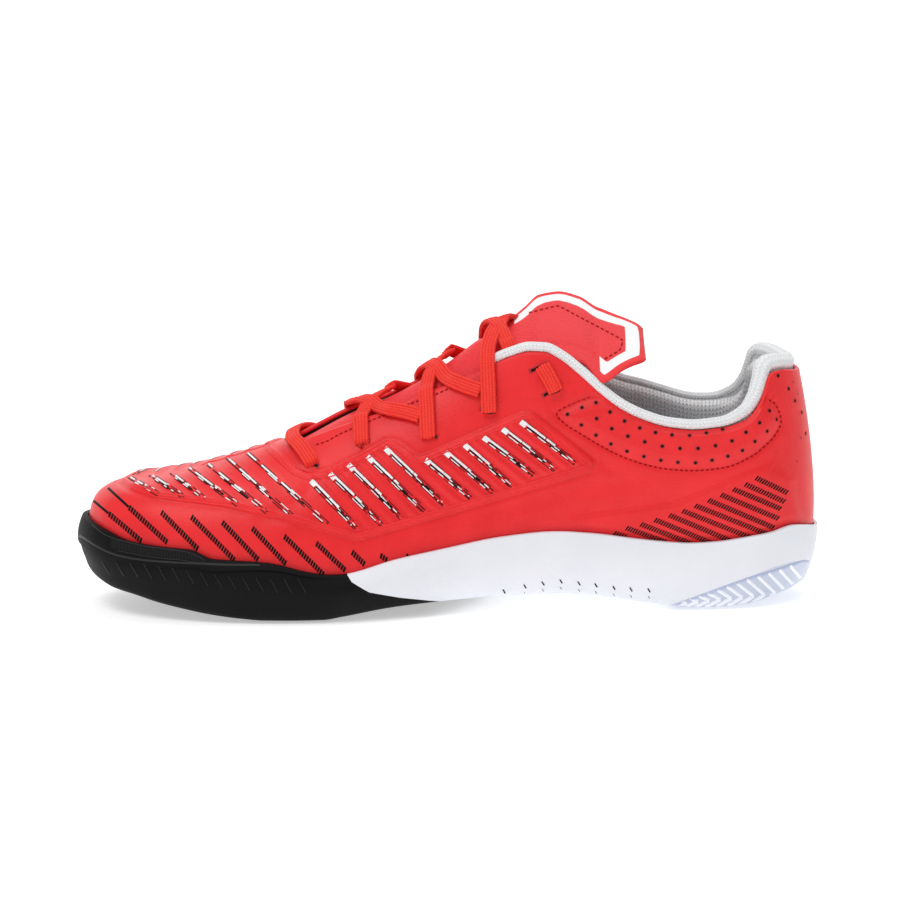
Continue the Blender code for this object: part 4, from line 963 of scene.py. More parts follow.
def fine_side(column):
    """The sole's side in one plane, from its lower edge to its lip, with the ledge round the toe."""
    rim_rho, rim_z = column.section(column.rim_t)
    edge = column.reach - UNDER_INSET
    lip = min(rim_rho + CUP_CLEARANCE + SIDE_LIP, column.reach)
    edge_z = column.under(edge) + 0.6 * UNDER_CHAMFER
    mean, spread = 0.5 * (edge + lip), lip - edge
    room = max(column.reach - mean, abs(spread) / 2)
    bulge = 0.5 * (room + math.sqrt(max(0.0, room * room - spread * spread / 4)))
    ledge = LEDGE_CURVES["height"](column.share)
    step = LEDGE_STEP * LEDGE_CURVES["step"](column.share)
    s = np.concatenate([np.linspace(0, ledge, SIDE_ROWS // 2),
                        ledge + (1 - ledge) * np.linspace(0.04, 1, SIDE_ROWS // 2)])
    recess = np.where(s <= ledge + 1e-9, step * smoothstep(0, ledge / 2, s), 0.0)
    out = edge + spread * s + 4 * bulge * s * (1 - s) - recess
    return out, edge_z + (rim_z - edge_z) * s


def tread_depth(x, y):
    """How far the tread's grooves rise into the sole at a place of its underside, in metres."""
    share = share_of(x)
    pivot = np.hypot(x - place(PIVOT[0]), y - PIVOT[1] * BALL_WIDTH)
    rings = 0.5 + 0.5 * np.cos(2 * math.pi * pivot / RING_PITCH)
    zig = np.abs(((y / ZIG_PITCH) % 1.0) - 0.5) * ZIG_PITCH
    herring = 0.5 + 0.5 * np.cos(2 * math.pi * (x + 0.9 * zig) / HERRING_PITCH)
    pattern = np.where(pivot < PIVOT_RADIUS, rings, herring)
    depth = GROOVE_DEPTH * smoothstep(0.62, 0.78, pattern)
    for along, degrees in FLEX_GROOVES:
        offset = np.abs(x - place(along) + y * math.tan(math.radians(degrees)))
        depth = np.maximum(depth, FLEX_DEPTH * (1 - smoothstep(1.2 * MM, 1.8 * MM, offset)))
    waist = smoothstep(0.52, 0.56, share) * (1 - smoothstep(0.76, 0.80, share))
    return depth * (1 - 0.75 * waist)


def fine_profile(column):
    """One closed profile of the sole: its tread, its side, its lip and the cup's floor."""
    edge = column.reach - UNDER_INSET
    rho = np.linspace(0.0, edge - UNDER_CHAMFER, UNDER_ROWS)
    z = np.array([column.under(r) for r in rho])
    x, y = column.start[0] + column.heading[0] * rho, column.start[1] + column.heading[1] * rho
    z = z + tread_depth(x, y) * (1 - smoothstep(edge - 6 * MM, edge - UNDER_CHAMFER, rho))
    side_rho, side_z = fine_side(column)
    cup_rho, cup_z = column.section(column.rim_t * np.array([1.0, 0.66, 0.33, 0.0]))
    cup_rho = cup_rho + CUP_CLEARANCE
    cup_z[-1] = SIDE["floor"](column.share) * STACK_HEIGHT
    floor_rho = np.array([0.5 * cup_rho[-1], 0.0])
    floor_z = [column.floor_at(r) for r in floor_rho]
    rho = np.concatenate([rho, side_rho, cup_rho, floor_rho])
    return column.points(rho, np.concatenate([z, side_z, cup_z, floor_z]))


def side_outline(rows):
    return [(place(a), h * SIDE_HEIGHT) for a, h in rows]


def prism(name, outline):
    """A block as wide as the shoe and more, with this outline seen from the side."""
    points = [(x, y, z) for y in (-BALL_WIDTH, BALL_WIDTH) for x, z in outline]
    count = len(outline)
    faces = [tuple(range(count)), tuple(range(2 * count - 1, count - 1, -1))]
    faces += [(i, i + count, (i + 1) % count + count, (i + 1) % count) for i in range(count)]
    return turn_out(add_mesh(name, points, faces, bpy.data.materials[0]), 1e-7, slivers=True)


def moulding(name, profiles, material, *cuts):
    """A loft of the sole cut to its zone, as one mesh."""
    rows, width = profiles.shape[:2]
    loft = add_mesh(
        name + "_loft", profiles.reshape(-1, 3), grid_faces(rows, width, True), material
    )
    obj = turn_out(loft, 1e-6, slivers=True)
    cutters = []
    for operation, outline in cuts:
        cutter = prism(name + "_zone", outline)
        step = obj.modifiers.new("cut", "BOOLEAN")
        step.operation, step.object, step.solver = operation, cutter, "EXACT"
        cutters.append(cutter)
    made = evaluated_copy(obj, name, material)
    made.data.shade_smooth()
    made.data.set_sharp_from_angle(angle=math.radians(38))
    for used in (*cutters, obj):
        bpy.data.objects.remove(used, do_unlink=True)
    return made


def build_sole(looks):
    """The sole's three mouldings, cut from one loft along the lines where they meet."""
    columns = all_round(SOLE_HEEL, stations((HEEL_CENTRE, TOE_CENTRE, SOLE_ALONG)), SOLE_TOE)
    profiles = np.array([fine_profile(column) for column in columns])
    split = side_outline(((-0.10, -0.2), (-0.10, 2.0), (SPLIT[0][0], 2.0), *SPLIT))
    room = split[:2] + [(x + SPLIT_ROOM, z + SPLIT_ROOM) for x, z in split[2:]]
    pad = side_outline(HEEL_PAD)
    middle = place(PAD_MIDDLE)
    pad_room = [
        (x + math.copysign(SPLIT_ROOM, x - middle), z + SPLIT_ROOM * (z > 0)) for x, z in pad
    ]
    front = moulding("sole_front", profiles, looks["black"], ("INTERSECT", split))
    foam = moulding(
        "sole_foam", profiles, looks["foam"], ("DIFFERENCE", room), ("DIFFERENCE", pad_room)
    )
    heel = moulding("sole_heel", profiles, looks["pad"], ("INTERSECT", pad))
    place_piece(front, "rubber_black", "outsole_forefoot")
    place_piece(foam, "foam_white", "midsole")
    place_piece(heel, "rubber_clear", "outsole_heel")
    return front, foam, heel


# How far marks stand off across their width: level, rounded over, and as a stitch does.
LEVEL_BAND = (1.0, 1.0, 1.0)
ROUND_OVER = (0.0, 0.75, 1.0, 0.75, 0.0)
STITCH = (0.2, 1.0, 0.2)
# The most that one face of a mark may span, and the corners of a disc.
MOST_SPAN = 12 * MM
DISC_SIDES = 12


class Skin:
    """Surfaces that places of the photograph's frame are carried onto, on either side of the shoe."""

    def __init__(self, *objects):
        work = bmesh.new()
        for obj in objects:
            work.from_mesh(obj.data)
        bmesh.ops.triangulate(work, faces=work.faces)
        self.tree = BVHTree.FromBMesh(work)
        work.free()

    def at(self, x, y, side=-1):
        """(point, outward normal) under a place of the frame, or None where nothing lies there."""
        ray = LOOK + (RIGHT * (x - FRAME_PX / 2) - UP * (y - FRAME_PX / 2)) / FOCAL_PX
        start, ray = np.array(EYE), unit(ray)
        if side > 0:
            share = share_of((x - CHART_MIDDLE) * PIXEL)
            start[1] = -start[1] - 2 * SPINE_LINE(share) * BALL_WIDTH
            ray[1] = -ray[1]
        point, normal, _, _ = self.tree.ray_cast(Vector(start), Vector(ray))
        if point is None:
            return None
        normal = np.array(normal)
        if normal @ ray > 0:
            normal = -normal
        return np.array(point), normal


class Sheet:
    """Thin marks laid on a skin: strips and discs drawn in the photograph's frame, as one mesh."""

    def __init__(self, skin, lift, own_half=False):
        self.skin, self.lift, self.own_half = skin, lift, own_half
        self.points, self.faces = [], []

    def crosses(self, point, side):
        """True past the middle plane, where marks of the other side would lie."""
        outward = side * (point[1] + SPINE_LINE(share_of(point[0])) * BALL_WIDTH)
        return outward < (3 * MM if side > 0 else -1 * MM)

    def corner(self, x, y, side, lift):
        """The number of a new point over a place of the frame, or None where it has no place."""
        found = self.skin.at(x, y, side)
        if found is None:
            return None
        point, normal = found
        if self.own_half and self.crosses(point, side):
            return None
        self.points.append(point + normal * lift)
        return len(self.points) - 1

    def settle(self, spot, normal):
        """A point beside a mark's middle, brought onto the skin along the middle's normal."""
        start, ray = Vector(spot + normal * 4 * MM), Vector(-normal)
        point, _, _, _ = self.skin.tree.ray_cast(start, ray, 10 * MM)
        if point is None:
            return None
        self.points.append(np.array(point) + normal * self.lift)
        return len(self.points) - 1

    def strip(self, line, width, side, step=3.0, heights=(1.0, 1.0), ends=None):
        """A strip along a line: heights lists how far it stands off across its width."""
        line = np.asarray(line, float)
        length = run_length(line)
        count = max(2, int(math.ceil(length[-1] / step)) + 1)
        where = np.linspace(0, length[-1], count)
        x, y = (np.interp(where, length, line[:, k]) for k in (0, 1))
        dx, dy = np.gradient(x), np.gradient(y)
        size = np.maximum(np.hypot(dx, dy), 1e-9)
        if ends is not None:
            side_x, side_y = np.full(count, ends[0]), np.full(count, ends[1])
        else:
            side_x, side_y = -dy / size, dx / size
        across = [width * (k / (len(heights) - 1) - 0.5) for k in range(len(heights))]
        rows = [
            [self.corner(x[i] + side_x[i] * a, y[i] + side_y[i] * a, side, self.lift * height)
             for a, height in zip(across, heights)]
            for i in range(count)
        ]
        for first, second in zip(rows, rows[1:]):
            for k in range(len(heights) - 1):
                face = (first[k], second[k], second[k + 1], first[k + 1])
                if None not in face and self.near(face):
                    self.faces.append(face)

    def near(self, face):
        """False where a face would span a step from one surface to another."""
        spots = [self.points[i] for i in face]
        return max(np.linalg.norm(a - b) for a in spots for b in spots) < MOST_SPAN

    def stitches(self, line, side, width, dash, pitch):
        """Short raised dashes along a line, one for each pitch of its length."""
        length = run_length(line)
        at = 1.0
        while at + dash < length[-1]:
            ends = [tuple(np.interp(v, length, line[:, k]) for k in (0, 1)) for v in (at, at + dash)]
            self.strip(ends, width, side, step=2.0, heights=STITCH)
            at += pitch

    def disc(self, x, y, radius, side, hole=0.0):
        """A disc on the skin, or with a hole a ring."""
        found = self.skin.at(x, y, side)
        if found is None:
            return
        point, normal = found
        first = unit(np.cross(normal, (0.0, 0.0, 1.0)))
        second = np.cross(normal, first)
        rings = []
        for size in (radius, hole) if hole else (radius,):
            rings.append([
                self.settle(point + (first * math.cos(turn) + second * math.sin(turn))
                            * size * PIXEL, normal)
                for turn in (2 * math.pi * i / DISC_SIDES for i in range(DISC_SIDES))
            ])
        middle = None if hole else self.settle(point, normal)
        outer = rings[0]
        for i in range(DISC_SIDES):
            k = (i + 1) % DISC_SIDES
            inner = (rings[1][k], rings[1][i]) if hole else (middle,)
            face = (outer[i], outer[k], *inner)
            if None not in face and self.near(face):
                self.faces.append(face)

    def finish(self, name, material, slot):
        """The marks as one piece, without the points that no face uses."""
        obj = add_mesh(name, self.points, self.faces, material)
        work = bmesh.new()
        work.from_mesh(obj.data)
        loose = [v for v in work.verts if not v.link_faces]
        bmesh.ops.delete(work, geom=loose, context="VERTS")
        for face in work.faces:
            face.smooth = True
        work.to_mesh(obj.data)
        work.free()
        return place_piece(obj, slot)


def direction(a, b):
    """How far apart two places are, and the unit step from one to the other."""
    length = math.hypot(b[0] - a[0], b[1] - a[1])
    return length, ((b[0] - a[0]) / length, (b[1] - a[1]) / length)


def along_line(line, start, end):
    """The part of a straight line between two shares of its length."""
    (ax, ay), (bx, by) = line[0], line[-1]
    return [(ax + (bx - ax) * s, ay + (by - ay) * s) for s in (start, end)]


def shifted(line, offset):
    """The line moved sideways, to its left as it runs."""
    _, (dx, dy) = direction(line[0], line[-1])
    return [(x - dy * offset, y + dx * offset) for x, y in line]


def broken(chance, start, end, low, high, gap_low, gap_high):
    """Dashes of random length along a line, as pairs of shares."""
    at, dashes = start, []
    while at < end:
        length = chance.uniform(low, high)
        dashes.append((at, min(end, at + length)))
        at += length + chance.uniform(gap_low, gap_high)
    return dashes


# Rows of dashes beside a streak: the ink, the offset, the width, the shares of the streak where the row
# starts and ends, and the least and the greatest dash and gap. None is where the solid part ends.
VAMP_DASHES = (
    ("black", 1.3, 1.2, 0.0, 0.72, 0.14, 0.40, 0.01, 0.04),
    ("black", -1.8, 0.8, 0.05, 1.0, 0.12, 0.36, 0.03, 0.10),
    ("black", 2.6, 0.8, 0.30, 1.0, 0.10, 0.26, 0.04, 0.12),
    ("black", 0.2, 0.9, 0.45, 1.0, 0.12, 0.28, 0.02, 0.08),
    ("white", -0.4, 1.7, 0.0, 0.60, 0.12, 0.30, 0.03, 0.10),
    ("white", 1.6, 1.1, 0.30, 0.95, 0.05, 0.14, 0.10, 0.24),
    ("white", -1.6, 0.8, 0.55, 1.0, 0.05, 0.12, 0.10, 0.24),
)
QUARTER_DASHES = (
    ("white", -1.4, 2.0, 0.08, None, 0.20, 0.40, 0.0, 0.03),
    ("black", 0.4, 1.4, 0.12, 0.82, 0.18, 0.44, 0.0, 0.04),
    ("white", 1.7, 1.0, 0.14, 0.92, 0.07, 0.20, 0.06, 0.18),
    ("black", 2.7, 0.7, 0.0, 1.0, 0.20, 0.44, 0.02, 0.05),
    ("black", -2.7, 0.7, 0.0, 0.9, 0.20, 0.44, 0.02, 0.06),
    ("black", -1.0, 1.0, None, 1.0, 0.10, 0.26, 0.02, 0.08),
    ("black", 1.4, 1.0, 0.55, 1.0, 0.10, 0.26, 0.04, 0.10),
    ("white", -0.3, 0.8, None, 0.96, 0.05, 0.12, 0.06, 0.18),
)


def draw_dashes(sheets, chance, side, line, rows, solid=None):
    """The rows of dashes of one streak, each dash a little off its row."""
    for ink, offset, width, start, end, *sizes in rows:
        start, end = (solid if share is None else share for share in (start, end))
        for a, b in broken(chance, start, end, *sizes):
            wander = offset + chance.uniform(-0.25, 0.25)
            sheets[ink].strip(shifted(along_line(line, a, b), wander), width, side)


def draw_streaks(skin, looks):
    black, white = Sheet(skin, 0.10 * MM, True), Sheet(skin, 0.16 * MM, True)
    sheets = {"black": black, "white": white}
    for side, seed in ((-1, 31), (1, 47)):
        chance = random.Random(seed)
        for line in VAMP_ROWS:
            ax, ay = line[0]
            hook = [(ax - 12, ay + 0.5), (ax - 6, ay - 0.6), (ax, ay)]
            black.strip([(x, y + 1.2) for x, y in hook], 1.0, side, step=2.0)
            white.strip(hook, 1.3, side, step=2.0)
            draw_dashes(sheets, chance, side, line, VAMP_DASHES)
        for line in QUARTER_BARS:
            white.strip(along_line(line, 0.0, 0.10), 5.2, side, heights=LEVEL_BAND)
            draw_dashes(sheets, chance, side, line, QUARTER_DASHES, chance.uniform(0.48, 0.62))
    black.finish("streaks_black", looks["ink"], "upper_red")
    white.finish("streaks_white", looks["white"], "upper_red")


FOREFOOT_ROWS = (
    ((87, 519.5), (106, 533)), ((91.5, 499), (142, 541.5)), ((108, 488), (169, 544)),
    ((161, 512), (200, 551)), ((191, 516.5), (235, 560.6)), ((222, 522), (259, 560.6)),
    ((252, 528), (288, 566)), ((284, 536), (325, 576)), ((316, 543), (347, 572)),
    ((351.6, 551.7), (367, 566.7)), ((380, 555), (388, 561)), ((406, 556), (411, 557)),
)
HEEL_ROWS = (
    ((755.5, 477.7), (787.7, 493)), ((744.8, 484), (785, 502)), ((733, 489), (781, 509)),
    ((720.7, 494.6), (778.8, 518.8)), ((708, 500), (774, 527.7)), ((694.8, 505.4), (767, 534)),
    ((682.3, 510.7), (752.9, 538.4)), ((669, 515), (731.4, 541)), ((654.6, 519.6), (713.6, 543.8)),
    ((640.4, 524), (692, 543.8)), ((626, 527.7), (665.4, 542)), ((613.6, 533), (626, 536.6)),
)
# The rows nearest the toe start with a solid part, this share of their length.
SOLID_ROWS = 3
SOLID_PART = 0.34
FOREFOOT_PITCH = 3.1
HEEL_PITCH = 2.45


def draw_welts(skin, looks):
    """The two thin raised lines that edge the ribbed panel."""
    sheet = Sheet(skin, 0.34 * MM)
    line = np.array(RAISED_ZONE[3:], float)
    length = run_length(line)
    where = np.arange(0.0, length[-1], 4.0)
    line = np.stack([np.interp(where, length, line[:, k]) for k in (0, 1)], -1)
    ahead = np.gradient(line, axis=0)
    ahead /= np.hypot(*ahead.T)[:, None]
    inward = np.stack([-ahead[:, 1], ahead[:, 0]], -1)
    for side in (-1, 1):
        for inset in (-0.6, 4.4):
            sheet.strip(line + inward * inset, 2.0, side, heights=ROUND_OVER)
    sheet.finish("panel_welts", looks["upper"], "upper_red")


def draw_ticks(skin, looks):
    """Rows of short slanting ticks low on the forefoot and on the heel."""
    sheet = Sheet(skin, 0.09 * MM)
    for side in (-1, 1):
        for number, (a, b) in enumerate(FOREFOOT_ROWS):
            length, (ux, uy) = direction(a, b)
            start = 0.0
            if number < SOLID_ROWS:
                start = SOLID_PART * length
                sheet.strip([a, (a[0] + ux * start, a[1] + uy * start)], 2.5, side, heights=LEVEL_BAND)
            for i in range(max(1, int((length - start) / FOREFOOT_PITCH))):
                s = start + (i + 0.5) * FOREFOOT_PITCH
                x, y = a[0] + ux * s, a[1] + uy * s
                dx, dy = -uy * 2.6 + ux * 0.9, ux * 2.6 + uy * 0.9
                sheet.strip([(x - dx, y - dy), (x + dx, y + dy)], 2.3, side, ends=(ux, uy))
        for a, b in HEEL_ROWS:
            length, (ux, uy) = direction(a, b)
            count = max(2, int(length / HEEL_PITCH))
            for i in range(count):
                s = (i + 0.5) * length / count
                x, y = a[0] + ux * s, a[1] + uy * s
                sheet.strip([(x + 1.7, y - 2.1), (x - 1.7, y + 2.1)], 1.5, side, ends=(ux, uy))
    sheet.finish("tick_rows", looks["ink"], "upper_red")


HOLES = (
    (596, 402.6), (610, 412), (624.6, 421), (639.8, 428), (655.5, 432.5), (672, 434.8),
    (689.5, 435.4), (706.4, 433.2), (722.5, 429.1), (736.4, 421.6), (749.3, 413.4), (758.6, 402.4),
    (582, 407.5), (596.6, 418.6), (611.8, 428.6), (627.9, 436.2), (644.8, 441.8), (662.3, 446.2),
    (680, 448.4), (698, 448.4), (715.5, 445.7), (732, 440.9), (746, 432.3), (759.6, 422.7),
    (769.5, 410.7), (567.5, 414.3), (581.4, 425), (596, 435.2), (610.9, 443.9), (627, 451.2),
    (643.9, 456.4), (660.9, 460.2), (677.9, 462.3), (695.5, 462.7), (712, 460.2), (727.9, 456.2),
    (742.5, 450.4), (755, 441.4), (767.1, 431.2), (776.6, 419.3), (778, 375.7), (788.6, 388.7),
    (795, 400.8), (801.7, 412.3), (805.7, 433.4),
)
# A hole's dark disc of painted shade, the paler ring of painted shade round it, and the ring's own hole.
HOLE_RADIUS = 1.6
RIM_RADIUS = 2.5
RIM_HOLE = 1.4
# Faint holes, each only a disc of the rings' painted shade.
FAINT_HOLES = ((782, 370), (793, 382), (798, 394), (801, 438), (797, 461.5))
SEAMS = (
    ((315, 445), (327.5, 441), (338, 435), (349, 430), (375, 419), (387, 414), (396, 409),
     (418, 401), (439, 393), (448, 389), (456, 387)),
    ((266, 443), (276, 437), (286, 433)),
)
EYELETS = (
    ((306, 462), (318, 466)), ((358, 438), (369, 441)), ((426, 434), (437, 437)),
    ((481, 409), (492, 411)), ((531, 371), (547, 364)), ((544, 395.6), (558, 386.5)),
)
# How far each slit lies from its mirrored place on the outer side.
OUTER_SLITS = ((0, -8), (-10, -9), (-8, -9), (0, 0), (0, 0), (0, 0))


def draw_holes(skin, looks):
    """The perforations and lace slits, as dark painted shade ringed with paler painted shade, and the
    stitched seams of the upper.
    """
    hole, rim = Sheet(skin, 0.10 * MM), Sheet(skin, 0.07 * MM)
    stitch_shade = Sheet(skin, 0.16 * MM)
    for side in (-1, 1):
        # Each hole is a dark disc of painted shade in a ring of paler painted shade.
        for x, y in HOLES:
            hole.disc(x, y, HOLE_RADIUS, side)
            rim.disc(x, y, RIM_RADIUS, side, hole=RIM_HOLE)
        for x, y in FAINT_HOLES:
            rim.disc(x, y, RIM_HOLE, side)
        for line, move in zip(EYELETS, OUTER_SLITS):
            if side > 0:
                line = [(x + move[0], y + move[1]) for x, y in line]
            # Each lace slit is a dark strip of painted shade, with paler painted shade round its ends.
            hole.strip(line, 2.6, side, heights=LEVEL_BAND)
            ends = [(a + (a - b) * 0.14, c + (c - d) * 0.14) for (a, c), (b, d) in (line, line[::-1])]
            rim.strip(ends, 5.0, side, heights=LEVEL_BAND)
        for line in (COLLAR_PAD[:-1], *SEAMS):
            # The seams' stitches, dark red with the painted shade of their stitch holes.
            stitch_shade.stitches(through(line, per=8), side, 1.7, 3.2, 5.2)
    hole.finish("perforations", looks["hole"], "upper_red")
    rim.finish("perforation_rims", looks["rim"], "upper_red")
    stitch_shade.finish("upper_stitches", looks["stitch_shade"], "upper_red")


ARCH_MARKS = (
    (504, 591), (525, 586), (543, 583), (561, 581), (579, 583), (596, 585), (614, 587.5),
    (631, 589), (649, 590),
)
TOE_STRIP = (
    (92, 525), (107, 535.5), (142, 545.5), (170, 549.5), (190, 553), (200, 557.5), (206, 562),
    (197, 562.5), (180, 560), (150, 557), (118, 550.5),
)
LEDGE_RIDGE = ((77, 534), (117, 555), (209, 564), (260, 565))
TOE_RIBS = 62
LEDGE_RIBS = 15
HEEL_RIBS = 12
PAD_POINTS = (
    (82, -1), (85, 1.5), (98.7, 7), (114.4, 12.3), (126, 15), (134, 16.3), (138, 16.5), (141, 15),
    (142, 10.5), (141, 4), (137, 1.2),
)


def chart_of(x, z):
    """The frame's place of a point of the inner side of the sole, from its X and Z in millimetres."""
    share = share_of(x * MM)
    column = Column(min(max(share, TOE_CENTRE), HEEL_CENTRE), 90.0, -1)
    angle = 0.0
    if share > HEEL_CENTRE:
        angle = math.asin(min(1.0, (share - HEEL_CENTRE) / (1 - HEEL_CENTRE)))
    y = column.start[1] - column.reach * math.cos(angle)
    across, down = to_chart(np.array([x * MM, y, z * MM]))
    return float(across), float(down)


def draw_sole(front, foam, heel, looks):
    """The sole's fine ridges, the dark marks of painted shade where slits lie under its arch, and the
    outline and ribs of the heel pad, the outline a darker line of painted shade where a groove runs.
    """
    dark = Sheet(Skin(front), 0.35 * MM)
    pale = Sheet(Skin(foam), 0.12 * MM)
    outline, ribs = Sheet(Skin(foam, heel), 0.3 * MM), Sheet(Skin(heel), 0.45 * MM)
    edge = through([chart_of(x, z) for x, z in PAD_POINTS], per=8)
    for side in (-1, 1):
        dark.strip(through(LEDGE_RIDGE, per=10), 2.2, side, heights=ROUND_OVER)
        dark.strip(through(TOE_STRIP, per=8), 1.2, side, heights=ROUND_OVER)
        for i in range(TOE_RIBS):
            x = 112 + 1.5 * i
            top = np.interp(x, (107, 142, 170, 190, 206), (536, 546, 550, 553.5, 560))
            low = np.interp(x, (107, 150, 180, 206), (547, 556, 559, 562))
            dark.strip([(x, top), (x, low)], 0.7, side, step=4.0, heights=(0.0, 0.5, 0.0))
        for i in range(LEDGE_RIBS):
            x = 106 + 14.0 * i
            y = 568 + 18 * smoothstep(95, 290, x)
            dark.strip([(x - 4, y - 7), (x + 4, y + 7)], 1.2, side, step=2.0, heights=ROUND_OVER)
        # Dark marks of painted shade where slits lie under the arch.
        for x, y in ARCH_MARKS:
            pale.strip([(x - 1.2, y - 1.6), (x + 1.2, y + 2.2)], 1.3, side, step=2.0)
            pale.strip([(x - 0.8, y + 6), (x + 0.8, y + 8.4)], 0.5, side, step=2.0)
        # The heel pad's outline: a darker line of painted shade where its groove runs.
        outline.strip(edge, 3.4, side, heights=ROUND_OVER)
        for i in range(HEEL_RIBS):
            tip = 139.0 - 4.3 * i
            bends = (tip - 8.5, 0.8), (tip, 7.2 - 0.28 * i), (tip - 7, 16.5 - 0.95 * i)
            low, middle, high = (chart_of(x, max(0.6, z)) for x, z in bends)
            ribs.strip([low, middle], 3.6, side, heights=ROUND_OVER)
            ribs.strip([middle, high], 3.6, side, heights=ROUND_OVER)
    dark.finish("sole_ridges", looks["ridge"], "rubber_black")
    pale.finish("arch_slit_shade", looks["ink"], "foam_white")
    outline.finish("heel_pad_outline", looks["pad_groove_shade"], "rubber_clear")
    ribs.finish("heel_pad_ribs", looks["pad_rib"], "rubber_clear")


# The tongue.
TONGUE_ALONG = 150
TONGUE_WIDE = 64
UV_REACH = 0.040
TONGUE_RIM = 0.0030 / UV_REACH
TONGUE_BAND = 0.0050 / UV_REACH
TONGUE_BAND_START = 0.592
TONGUE_SEAM = ((528, 313), (558, 305.5), (623, 340), (620.5, 350), (600, 362))


class TongueRow:
    """One station of the tongue: its top's height at any offset from the middle plane."""

    def __init__(self, share):
        self.share = share
        self.columns = {side: Column(share, 90.0, side) for side in (-1, 1)}
        self.slope = self.columns[1].ridge_slope

    def section(self, side, rho):
        """Heights of the last's surface at distances from the spine."""
        out, z = self.columns[side].samples
        first = int(np.argmax(out))
        return np.interp(rho, out[first:][::-1], z[first:][::-1])

    def height(self, offset):
        offset = np.asarray(offset, float)
        result = np.zeros(offset.shape)
        for side, name in ((-1, "inner"), (1, "outer")):
            rho = np.abs(offset)
            here = self.section(side, rho)
            fall = (self.section(side, rho + MM) - here) / MM
            room = (UPPER_WALL + 3 * GAP) * np.sqrt(1.0 + self.slope**2 + fall**2)
            free = TONGUE_LINE["free"](self.share)
            roll = math.tan(math.radians(float(TONGUE_LINE["roll"](self.share))))
            half = TONGUE_LINE[name](self.share) * BALL_WIDTH
            droop = TONGUE_LINE["drop"](self.share) * BALL_WIDTH * (offset / half) ** 2
            standing = TONGUE_LINE["centre"](self.share) * INSTEP_HEIGHT + offset * roll - droop
            made = (here - room) * (1 - free) + standing * free
            result = np.where((offset > 0) == (side > 0), made, result)
        return result


def tongue_height(share, offset):
    return float(TongueRow(share).height(np.array(offset)))


def rim_faces(rows, width):
    """Faces that join a grid's rim to that of the same grid numbered after it."""
    count = rows * width
    faces = []
    for i in range(rows - 1):
        for a in (i * width, (i + 1) * width - 1):
            faces.append((a, a + width, count + a + width, count + a))
    for first in (0, count - width):
        for a in range(first, first + width - 1):
            faces.append((a, a + 1, count + a + 1, count + a))
    return faces


def build_tongue(looks):
    """The padded tongue: puffed, with a groove inside its rim, and stitched."""
    first, last = TONGUE[0][0], TONGUE[-1][0]
    shares = np.linspace(first, last, TONGUE_ALONG)
    q = np.sin(np.linspace(-1, 1, TONGUE_WIDE) * math.pi / 2)
    top, under = [], []
    for share in shares:
        offset = q * BALL_WIDTH * np.where(
            q < 0, TONGUE_LINE["inner"](share), TONGUE_LINE["outer"](share)
        )
        row = TongueRow(share)
        z = row.height(offset)
        thick = TONGUE_THICKNESS * (1 - 0.55 * np.abs(q) ** 3)
        end = np.clip((last - share) / 0.010, 0, 1)
        thick = thick * math.sqrt(max(0.0, 1 - (1 - end) ** 2)) * np.sqrt(
            np.clip(1 - np.clip((np.abs(q) - 0.93) / 0.07, 0, 1) ** 2, 0, 1)
        )
        full = TONGUE_THICKNESS * (1 - 0.55 * np.abs(q) ** 3)
        y = offset - SPINE_LINE(share) * BALL_WIDTH
        x = np.full(len(q), place(share))
        top.append(np.stack([x, y, z - (full - thick) / 2], -1))
        under.append(np.stack([x, y, z - (full + thick) / 2], -1))
    top, under = np.array(top), np.array(under)
    rim = np.concatenate([top[:, 0], top[-1], top[::-1, -1]])
    flat = top.reshape(-1, 3)
    away = np.full(len(flat), 1e9)
    for a, b in zip(rim, rim[1:]):
        span = b - a
        s = np.clip((flat - a) @ span / max(span @ span, 1e-12), 0, 1)
        away = np.minimum(away, np.linalg.norm(flat - a - s[:, None] * span, axis=1))
    puff = (
        0.5 * MM * smoothstep(0.006, 0.011, away)
        - 0.35 * MM * np.exp(-(((away - 0.0073) / 0.0007) ** 2))
    )
    free = np.repeat(smoothstep(0.56, 0.60, shares), TONGUE_WIDE)
    lifted = flat.copy()
    lifted[:, 2] += puff * free
    points = np.concatenate([lifted, under.reshape(-1, 3)])
    count = len(flat)
    later = np.where(q < 0, 0.112, 0.0) * np.clip(np.abs(q) / 0.3, 0, 1)
    uv_top = np.stack([away / UV_REACH, (shares[:, None] - later).ravel()], -1)
    uv = np.concatenate([uv_top, uv_top * (0, 1)])
    faces = grid_faces(TONGUE_ALONG, TONGUE_WIDE) + rim_faces(TONGUE_ALONG, TONGUE_WIDE)
    faces += [f[::-1] for f in grid_faces(TONGUE_ALONG, TONGUE_WIDE, first=count)]
    tongue = add_mesh("tongue_padded", points, faces, looks["tongue"], uv=uv)
    turn_out(tongue, 1e-5)
    place_piece(tongue, "tongue_red", "tongue")
    # The tongue's stitches, dark red with the painted shade of their stitch holes.
    stitch_shade = Sheet(Skin(tongue), 0.25 * MM)
    stitch_shade.stitches(np.array(TONGUE_SEAM, float), -1, 1.6, 3.4, 5.6)
    stitch_shade.finish("tongue_stitches", looks["stitch_shade"], "tongue_red")


# The laces.
LACE_WIDTH = 6.0 * MM
LACE_THICKNESS = 1.9 * MM
